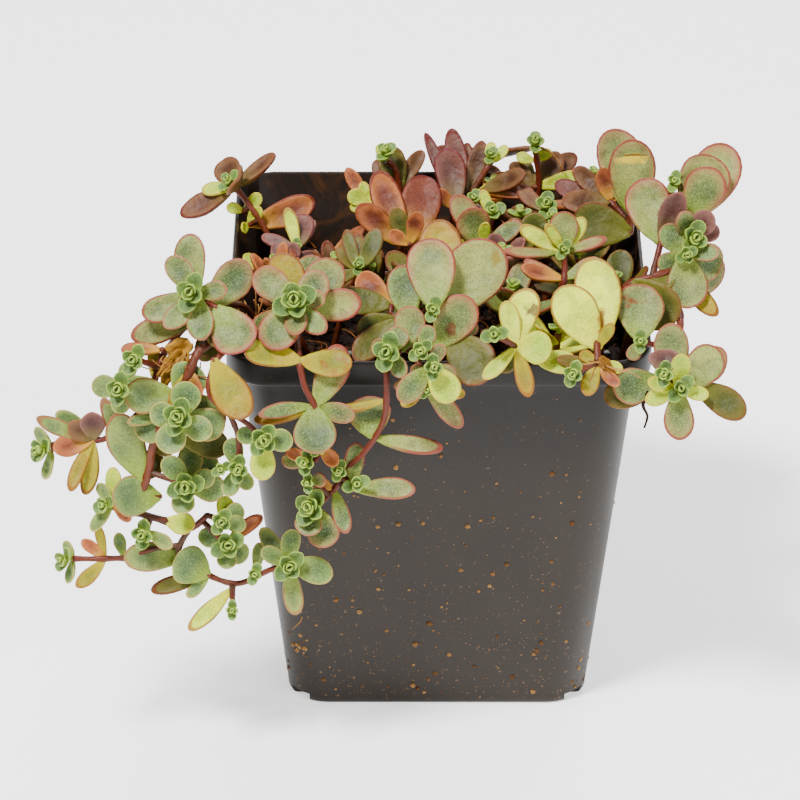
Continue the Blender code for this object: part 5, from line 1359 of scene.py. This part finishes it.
# Grazes and corky scars on single leaves: the place and half size in millimetres, and the colour
PAD_MARKS = (
    ((42.3, 12.8, 112.0), (2.9, 4, 1.0), "#d8b820"), ((42.6, 12.8, 112.8), (2.6, 4, 0.25), "#5a3c10"),
    ((2.5, -42.2, 99.5), (0.9, 3, 1.5), "#5a300c"), ((48.3, -2.0, 106.4), (1.3, 2, 0.9), "#6a4c20"),
    ((40.7, -38.8, 103.4), (4.2, 3, 1.3), "#6c340c"), ((12.0, -31.0, 110.4), (0.9, 3, 1.4), "#7c6c1c"),
)
LIME_MARKS = (
    ((20.0, -41.5, 103.4), (1.7, 3, 1.2), "#4c3410"), ((33.8, -42.0, 101.0), (0.8, 3, 3.6), "#8c5c14"),
    ((35.2, -44.6, 98.6), (1.1, 3, 1.8), "#74400c"),
)


def leaf_skin(
    name, face, aged, deep, foot, bloom, margin, peach, under, powder=0.5, line=0.28, glow=0.75,
    scar="#4c2408", sound=0.7, marks=(),
):
    """The waxy skin of a stonecrop leaf: painted shade that darkens a small leaf towards its middle,
    patchy as it ages, pale with fine powder, yellower at its foot, flushed round some leaves' tips,
    with a thin line round its margin, pale on a small leaf, and now and then a corky scar. deep is
    the colour of that painted shade and also of the leaf's own dark mottle and pits, line is the
    margin line's width in millimetres, a lower sound scars more of the leaf, and marks are single
    scars with their places, half sizes and colours.
    with their places, half sizes and colours."""
    made, tree, shader = new_finish(name)
    place = add(tree, "ShaderNodeTexCoord", {}, output="Object")
    along, rim, below, tint, blush = (
        add(tree, "ShaderNodeAttribute", {}, output="Fac", attribute_name=mark) for mark in Skin.MARKS
    )
    mottle = add(tree, "ShaderNodeTexNoise", {"Vector": place, "Scale": 1000 / 3.5, "Detail": 4.0})
    # Painted shade: away from its margin a leaf darkens towards the deep colour, for the shade in its hollow
    # and under its neighbours; on riper leaves the aged colour covers it
    inward = add(tree, "ShaderNodeMath", {0: mottle, 1: 3.0, 2: rim}, operation="MULTIPLY_ADD")
    hollow_shade = add(
        tree, "ShaderNodeMapRange", {"Value": inward, "From Min": 1.6, "From Max": 3.8, "To Max": 0.9},
        interpolation_type="SMOOTHSTEP",
    )
    colour = add(tree, "ShaderNodeMix", {0: hollow_shade, 6: linear(face), 7: linear(deep)}, 2, **MIX_COLOUR)
    drift = add(tree, "ShaderNodeTexNoise", {"Vector": place, "Scale": 1000 / 8, "Detail": 3.0})
    ripe = add(tree, "ShaderNodeMath", {0: drift, 1: 2.2, 2: tint}, operation="MULTIPLY_ADD")
    ripe = add(
        tree, "ShaderNodeMapRange", {"Value": ripe, "From Min": 1.35, "From Max": 2.5, "To Max": 0.95},
        interpolation_type="SMOOTHSTEP",
    )
    colour = add(tree, "ShaderNodeMix", {0: ripe, 6: colour, 7: linear(aged)}, 2, **MIX_COLOUR)
    blotch = add(
        tree, "ShaderNodeMapRange", {"Value": mottle, "From Min": 0.46, "From Max": 0.7, "To Max": 0.6}
    )
    colour = add(tree, "ShaderNodeMix", {0: blotch, 6: colour, 7: linear(deep)}, 2, **MIX_COLOUR)
    colour = add(tree, "ShaderNodeMix", {0: below, 6: colour, 7: linear(under)}, 2, **MIX_COLOUR)
    near_foot = add(
        tree, "ShaderNodeMapRange", {"Value": along, "From Min": 0.62, "From Max": 0.08, "To Max": 0.85},
        interpolation_type="SMOOTHSTEP",
    )
    colour = add(tree, "ShaderNodeMix", {0: near_foot, 6: colour, 7: linear(foot)}, 2, **MIX_COLOUR)
    # A real leaf's powder is finer than 0.05 mm: 0.3 mm is as coarse as it needs to show
    grains = add(
        tree, "ShaderNodeTexNoise", {"Vector": place, "Scale": 1000 / 0.3, "Detail": 2.0, "Roughness": 0.7}
    )
    grain = add(
        tree, "ShaderNodeMapRange", {"Value": grains, "From Min": 0.48, "From Max": 0.7, "To Max": powder}
    )
    colour = add(tree, "ShaderNodeMix", {0: grain, 6: colour, 7: linear(bloom)}, 2, **MIX_COLOUR)
    pits = add(
        tree, "ShaderNodeMapRange", {"Value": grains, "From Min": 0.5, "From Max": 0.32, "To Max": powder}
    )
    colour = add(tree, "ShaderNodeMix", {0: pits, 6: colour, 7: linear(deep)}, 2, **MIX_COLOUR)
    corky = add(
        tree, "ShaderNodeTexNoise",
        {"Vector": place, "Scale": 1000 / 7, "Detail": 5.0, "Roughness": 0.62, "Distortion": 0.8},
    )
    corky = add(
        tree, "ShaderNodeMapRange",
        {"Value": corky, "From Min": sound, "From Max": sound + 0.06, "To Max": 0.75},
    )
    colour = add(tree, "ShaderNodeMix", {0: corky, 6: colour, 7: linear(scar)}, 2, **MIX_COLOUR)
    if marks:
        torn = add(tree, "ShaderNodeTexNoise", {"Vector": place, "Scale": 1000 / 1.1, "Detail": 4.0})
    for spot, size, tone in marks:
        apart = add(tree, "ShaderNodeVectorMath", {0: place, 1: Vector(spot) * MM}, operation="SUBTRACT")
        apart = add(tree, "ShaderNodeVectorMath", {0: apart, 1: Vector(size) * MM}, operation="DIVIDE")
        apart = add(tree, "ShaderNodeVectorMath", {0: apart}, output="Value", operation="LENGTH")
        apart = add(tree, "ShaderNodeMath", {0: torn, 1: 2.2, 2: apart}, operation="MULTIPLY_ADD")
        here = add(
            tree, "ShaderNodeMapRange", {"Value": apart, "From Min": 2.4, "From Max": 1.9, "To Max": 0.9}
        )
        colour = add(tree, "ShaderNodeMix", {0: here, 6: colour, 7: linear(tone)}, 2, **MIX_COLOUR)
    ragged = add(tree, "ShaderNodeMath", {0: mottle, 1: 0.4, 2: rim}, operation="MULTIPLY_ADD")
    grown = add(tree, "ShaderNodeMapRange", {"Value": tint, "From Min": 0.2, "From Max": 0.75})
    most = add(tree, "ShaderNodeMapRange", {"Value": grown, "To Min": 0.5 * glow, "To Max": glow})
    flush = add(tree, "ShaderNodeMapRange", {"Value": blush, "From Min": 0.2, "To Max": most})
    halo = add(
        tree, "ShaderNodeMapRange",
        {"Value": ragged, "From Min": 2.7, "From Max": 0.2, "To Max": flush},
        interpolation_type="SMOOTHSTEP",
    )
    reach = add(tree, "ShaderNodeMapRange", {"Value": along, "From Min": 0.15, "From Max": 0.55})
    halo = add(tree, "ShaderNodeMath", {0: halo, 1: reach}, operation="MULTIPLY")
    colour = add(tree, "ShaderNodeMix", {0: halo, 6: colour, 7: linear(peach)}, 2, **MIX_COLOUR)
    thin = add(tree, "ShaderNodeMix", {0: grown, 6: linear(peach), 7: linear(margin)}, 2, **MIX_COLOUR)
    strength = add(tree, "ShaderNodeMapRange", {"Value": tint, "To Min": 0.65, "To Max": 0.9})
    wider = add(tree, "ShaderNodeMath", {0: grown, 1: -0.15, 2: ragged}, operation="MULTIPLY_ADD")
    edge = add(
        tree, "ShaderNodeMapRange",
        {"Value": wider, "From Min": line + 0.34, "From Max": line / 2 + 0.2, "To Max": strength},
        interpolation_type="SMOOTHSTEP",
    )
    edge = add(tree, "ShaderNodeMath", {0: edge, 1: reach}, operation="MULTIPLY")
    colour = add(tree, "ShaderNodeMix", {0: edge, 6: colour, 7: thin}, 2, **MIX_COLOUR)
    rough = add(tree, "ShaderNodeMapRange", {"Value": grains, "To Min": 0.42, "To Max": 0.62})
    relief = add(tree, "ShaderNodeBump", {"Height": grains, "Strength": 0.4, "Distance": 0.1 * MM})
    dents = add(tree, "ShaderNodeTexNoise", {"Vector": place, "Scale": 1000 / 2.6, "Detail": 2.0})
    relief = add(
        tree, "ShaderNodeBump", {"Height": dents, "Strength": 0.6, "Distance": 0.9 * MM, "Normal": relief},
    )
    fill(tree, shader, {
        "Base Color": colour, "Roughness": rough, "Normal": relief, "IOR": 1.45,
        "Specular IOR Level": 0.3, "Subsurface Weight": 0.12, "Subsurface Radius": (1.0, 0.7, 0.25),
        "Subsurface Scale": 1.2 * MM,
    })
    return made


def stem_skin():
    """The skin of a stonecrop's stem: brown and woody low down, red and smooth further up."""
    made, tree, shader = new_finish("stem_skin")
    place = add(tree, "ShaderNodeTexCoord", {}, output="Object")
    along = add(tree, "ShaderNodeAttribute", {}, output="Fac", attribute_name="along")
    tint = add(tree, "ShaderNodeAttribute", {}, output="Fac", attribute_name="tint")
    streak = add(tree, "ShaderNodeTexNoise", {"Vector": place, "Scale": 1000 / 1.6, "Detail": 4.0})
    age = add(tree, "ShaderNodeMath", {0: streak, 1: 0.9, 2: along}, operation="MULTIPLY_ADD")
    age = add(tree, "ShaderNodeMapRange", {"Value": age, "From Min": 0.6, "From Max": 1.1})
    wood = add(
        tree, "ShaderNodeMix", {0: streak, 6: linear("#2c1208"), 7: linear("#502c10")}, 2, **MIX_COLOUR
    )
    red = add(tree, "ShaderNodeMix", {0: tint, 6: linear("#541608"), 7: linear("#602a12")}, 2, **MIX_COLOUR)
    colour = add(tree, "ShaderNodeMix", {0: age, 6: wood, 7: red}, 2, **MIX_COLOUR)
    relief = add(tree, "ShaderNodeBump", {"Height": streak, "Strength": 0.8, "Distance": 0.5 * MM})
    fill(tree, shader, {
        "Base Color": colour, "Roughness": 0.46, "Normal": relief, "IOR": 1.45,
        "Specular IOR Level": 0.35,
    })
    return made


def pot_plastic():
    """Moulded polypropylene, dark grey-brown: a soft sheen, faint flow marks, painted shade that
    darkens it towards its rim where the leaves overhang it, dust that thickens downwards, and dried
    soil smeared inside."""
    made, tree, shader = new_finish("moulded_polypropylene")
    place = add(tree, "ShaderNodeTexCoord", {}, output="Object")
    up = add(tree, "ShaderNodeAttribute", {}, output="Fac", attribute_name="along")
    inside = add(tree, "ShaderNodeAttribute", {}, output="Fac", attribute_name="under")
    flow = add(tree, "ShaderNodeTexNoise", {"Vector": place, "Scale": 1000 / 14, "Detail": 4.0})
    colour = add(
        tree, "ShaderNodeMix", {0: flow, 6: linear("#1f1914"), 7: linear("#29221c")}, 2, **MIX_COLOUR
    )
    smear = add(
        tree, "ShaderNodeTexNoise",
        {"Vector": place, "Scale": 1000 / 9, "Detail": 6.0, "Roughness": 0.65, "Distortion": 1.2},
    )
    smear = add(tree, "ShaderNodeMapRange", {"Value": smear, "From Min": 0.5, "From Max": 0.7})
    smear = add(tree, "ShaderNodeMath", {0: smear, 1: inside}, operation="MULTIPLY")
    # Painted shade: the upper wall darkens towards the rim, unevenly with the flow marks, for the shade that
    # the overhanging leaves cast there
    painted_rim_shade = add(tree, "ShaderNodeMath", {0: flow, 1: 0.12, 2: up}, operation="MULTIPLY_ADD")
    painted_rim_shade = add(
        tree, "ShaderNodeMapRange", {"Value": painted_rim_shade, "From Min": 0.66, "From Max": 0.96, "To Max": 0.9},
        interpolation_type="SMOOTHSTEP",
    )
    colour = add(tree, "ShaderNodeMix", {0: painted_rim_shade, 6: colour, 7: linear("#15110e")}, 2, **MIX_COLOUR)
    dust = add(tree, "ShaderNodeTexNoise", {"Vector": place, "Scale": 1000 / 0.9, "Detail": 3.0})
    low = add(tree, "ShaderNodeMapRange", {"Value": up, "To Min": 0.07, "To Max": 0.0})
    dust = add(tree, "ShaderNodeMath", {0: dust, 1: low}, operation="ADD")
    dust = add(
        tree, "ShaderNodeMapRange", {"Value": dust, "From Min": 0.71, "From Max": 0.79, "To Max": 0.5}
    )
    colour = add(tree, "ShaderNodeMix", {0: dust, 6: colour, 7: linear("#7c5c38")}, 2, **MIX_COLOUR)
    colour = add(tree, "ShaderNodeMix", {0: inside, 6: colour, 7: linear("#1c1410")}, 2, **MIX_COLOUR)
    colour = add(tree, "ShaderNodeMix", {0: smear, 6: colour, 7: linear("#3c2410")}, 2, **MIX_COLOUR)
    # The mould's own grain is about 0.1 mm: 0.5 mm is as coarse as it needs to show
    texture = add(tree, "ShaderNodeTexNoise", {"Vector": place, "Scale": 1000 / 0.5, "Detail": 2.0})
    rough = add(tree, "ShaderNodeMapRange", {"Value": flow, "To Min": 0.36, "To Max": 0.5})
    relief = add(tree, "ShaderNodeBump", {"Height": texture, "Strength": 0.2, "Distance": 0.1 * MM})
    fill(tree, shader, {
        "Base Color": colour, "Roughness": rough, "Normal": relief, "IOR": 1.49,
        "Specular IOR Level": 0.21,
    })
    return made


def grainy(name, dark, light, grain, rough):
    """Soil, grit or fibre: a colour between two by lump, with fine grain."""
    made, tree, shader = new_finish(name)
    place = add(tree, "ShaderNodeTexCoord", {}, output="Object")
    tint = add(tree, "ShaderNodeAttribute", {}, output="Fac", attribute_name="tint")
    spots = add(tree, "ShaderNodeTexNoise", {"Vector": place, "Scale": 1000 / grain, "Detail": 4.0})
    share = add(tree, "ShaderNodeMath", {0: spots, 1: tint}, operation="MULTIPLY")
    colour = add(tree, "ShaderNodeMix", {0: share, 6: linear(dark), 7: linear(light)}, 2, **MIX_COLOUR)
    relief = add(tree, "ShaderNodeBump", {"Height": spots, "Strength": 0.8, "Distance": 0.4 * MM})
    fill(tree, shader, {
        "Base Color": colour, "Roughness": rough, "Normal": relief, "Specular IOR Level": 0.15,
    })
    return made


def make_finishes():
    """Every finish, by the name that the pieces' faces give it."""
    return {
        # Healthy leaves in full light: grey-green under a thick powder, with a rust-red margin
        "glaucous": leaf_skin(
            "glaucous_leaf_skin", face="#667a38", aged="#98994c", deep="#364628", foot="#778515",
            bloom="#90a660", margin="#7c2820", peach="#9c503c", under="#7e7630", powder=0.6,
            sound=0.67, marks=PAD_MARKS,
        ),
        # Leaves in the shade of the pot: greener, with a yellow-brown margin
        "fresh": leaf_skin(
            "fresh_leaf_skin", face="#66803a", aged="#848e40", deep="#3c5230", foot="#7c8e18",
            bloom="#90a860", margin="#84482a", peach="#a89c4c", under="#7e7e34", powder=0.5, glow=0.35,
        ),
        # Leaves short of light: thin, pale yellow-green
        "lime": leaf_skin(
            "lime_leaf_skin", face="#a6bc24", aged="#e2ea2e", deep="#86a020", foot="#b6b114",
            bloom="#eaf04c", margin="#8a5a20", peach="#b89c28", under="#b0b418", glow=0.25,
            marks=LIME_MARKS,
        ),
        # Older leaves low down: dark, and glossier for want of powder
        "olive": leaf_skin(
            "olive_leaf_skin", face="#484c12", aged="#565416", deep="#33380a", foot="#5e5c0c",
            bloom="#6a702e", margin="#5c2808", peach="#70501a", under="#4e4e14", powder=0.35,
        ),
        # Leaves about to drop: yellow, patchy and scarred
        "yellow": leaf_skin(
            "ageing_leaf_skin", face="#828a0c", aged="#a88c10", deep="#626418", foot="#a18e0c",
            bloom="#bcb41c", margin="#6d3a0a", peach="#955a0c", under="#947a0c", powder=0.3,
            scar="#84500c", sound=0.6,
        ),
        # Leaves that the sun has turned: orange-red, brown and purple-brown, with little powder
        "rust": leaf_skin(
            "sunburnt_leaf_skin", face="#9c542c", aged="#642a1e", deep="#501e14", foot="#bd891e",
            bloom="#c4844c", margin="#570f08", peach="#b46c30", under="#8a5a26", powder=0.15,
        ),
        "bronze": leaf_skin(
            "bronze_leaf_skin", face="#644629", aged="#522f23", deep="#3c1e0a", foot="#63521d",
            bloom="#806045", margin="#561508", peach="#784a28", under="#564018", powder=0.15,
        ),
        "plum": leaf_skin(
            "plum_leaf_skin", face="#5c3e38", aged="#522d26", deep="#3c1b14", foot="#6a582c",
            bloom="#866a5e", margin="#56110c", peach="#885043", under="#58402b", powder=0.2,
        ),
        # The small new leaves of the cores: fresh green, even, with a pale margin
        "young": leaf_skin(
            "young_leaf_skin", face="#5a7636", aged="#668638", deep="#42562e", foot="#869a14",
            bloom="#86a864", margin="#9cb23c", peach="#9cb23c", under="#6c8727", powder=0.4,
            line=0.1, glow=0.3,
        ),
        "stem": stem_skin(),
        "pot": pot_plastic(),
        # Peat that is still moist: nearly black, crumbly and without shine
        "peat": grainy("moist_peat", "#160e0a", "#2b1a10", 1.2, 0.95),
        # Crumbs of peat that have dried on top: some of them browner
        "crumb": grainy("peat_crumb", "#140c08", "#4c2a14", 0.5, 0.92),
        # Dry fibres of peat moss: warm brown
        "fibre": grainy("dry_peat_fibre", "#4c2608", "#8c5418", 0.6, 0.8),
        # Crushed stone: pale grey and matt, with a broken surface
        "stone": grainy("pale_grit_stone", "#6c706c", "#989c90", 0.8, 0.7),
        # Soil that dried where it splashed: light brown and dusty
        "speck": grainy("dried_soil_speck", "#4a2c14", "#b48a50", 0.5, 0.9),
        # Leaves that have died and dried: papery, brown to straw yellow
        "dead": grainy("dead_leaf_brown", "#6c4410", "#e0a838", 1.6, 0.7),
        # Dry stalks and roots: straw brown, with a faint shine
        "straw": grainy("dry_straw", "#7c4a1c", "#c49a58", 0.6, 0.75),
    }


def floor_paper():
    """Matt white background paper, lit through from behind so that it stays pale."""
    made, tree, shader = new_finish("white_paper")
    fill(tree, shader, {
        "Base Color": linear("#fafafa"), "Roughness": 0.9, "Emission Color": linear("#ffffff"),
        "Emission Strength": 0.9,
    })
    return made


# The floor's side in metres, and how bright the white sky is
FLOOR_SIZE = 8.0
SKY_STRENGTH = 0.32

# Round lamps: name, place and diameter in metres, and watts
LAMPS = (
    ("key", (-0.5, -0.55, 1.45), 0.36, 54), ("fill", (0.9, -0.9, 0.6), 1.0, 12),
    ("back", (0.3, 1.0, 1.1), 0.8, 18),
)
LAMPS_FACE = Vector((0, 0, 0.06))


def set_stage():
    """A pale floor, an even sky and three soft lamps."""
    bpy.ops.mesh.primitive_plane_add(size=FLOOR_SIZE)
    floor = bpy.context.object
    floor.name = "floor"
    floor.data.materials.append(floor_paper())
    world = bpy.data.worlds.new("studio")
    world.use_nodes = True
    sky = world.node_tree.nodes["Background"]
    sky.inputs["Color"].default_value = (1.0, 1.0, 1.0, 1.0)
    sky.inputs["Strength"].default_value = SKY_STRENGTH
    bpy.context.scene.world = world
    for lamp in LAMPS:
        add_lamp(*lamp)


def add_lamp(name, place, size, watts):
    """A round lamp that faces the plant."""
    data = bpy.data.lights.new(name, "AREA")
    data.shape = "DISK"
    data.size = size
    data.energy = watts
    lamp = bpy.data.objects.new(name, data)
    lamp.location = place
    lamp.rotation_euler = (LAMPS_FACE - Vector(place)).to_track_quat("-Z", "Y").to_euler()
    bpy.context.scene.collection.objects.link(lamp)


# The photograph's own view: from the front, 29.4 degrees above the horizontal, 1 m away
CAMERA_AT = Vector((-8.2, -871.2, 549.6)) * MM
CAMERA_TARGET = Vector((-8.2, 0, 58.7)) * MM
LENS = 202.8
SENSOR_WIDTH = 36.0


def set_camera():
    data = bpy.data.cameras.new("camera")
    data.lens = LENS
    data.sensor_width = SENSOR_WIDTH
    camera = bpy.data.objects.new("camera", data)
    camera.location = CAMERA_AT
    camera.rotation_euler = (CAMERA_TARGET - CAMERA_AT).to_track_quat("-Z", "Y").to_euler()
    bpy.context.scene.collection.objects.link(camera)
    bpy.context.scene.camera = camera


finishes = make_finishes()
dress_pot(finishes)
dress_soil(finishes)
dress_pot_specks(finishes)
dress_plant(finishes)
dress_loose_bits(finishes)
set_stage()
set_camera()
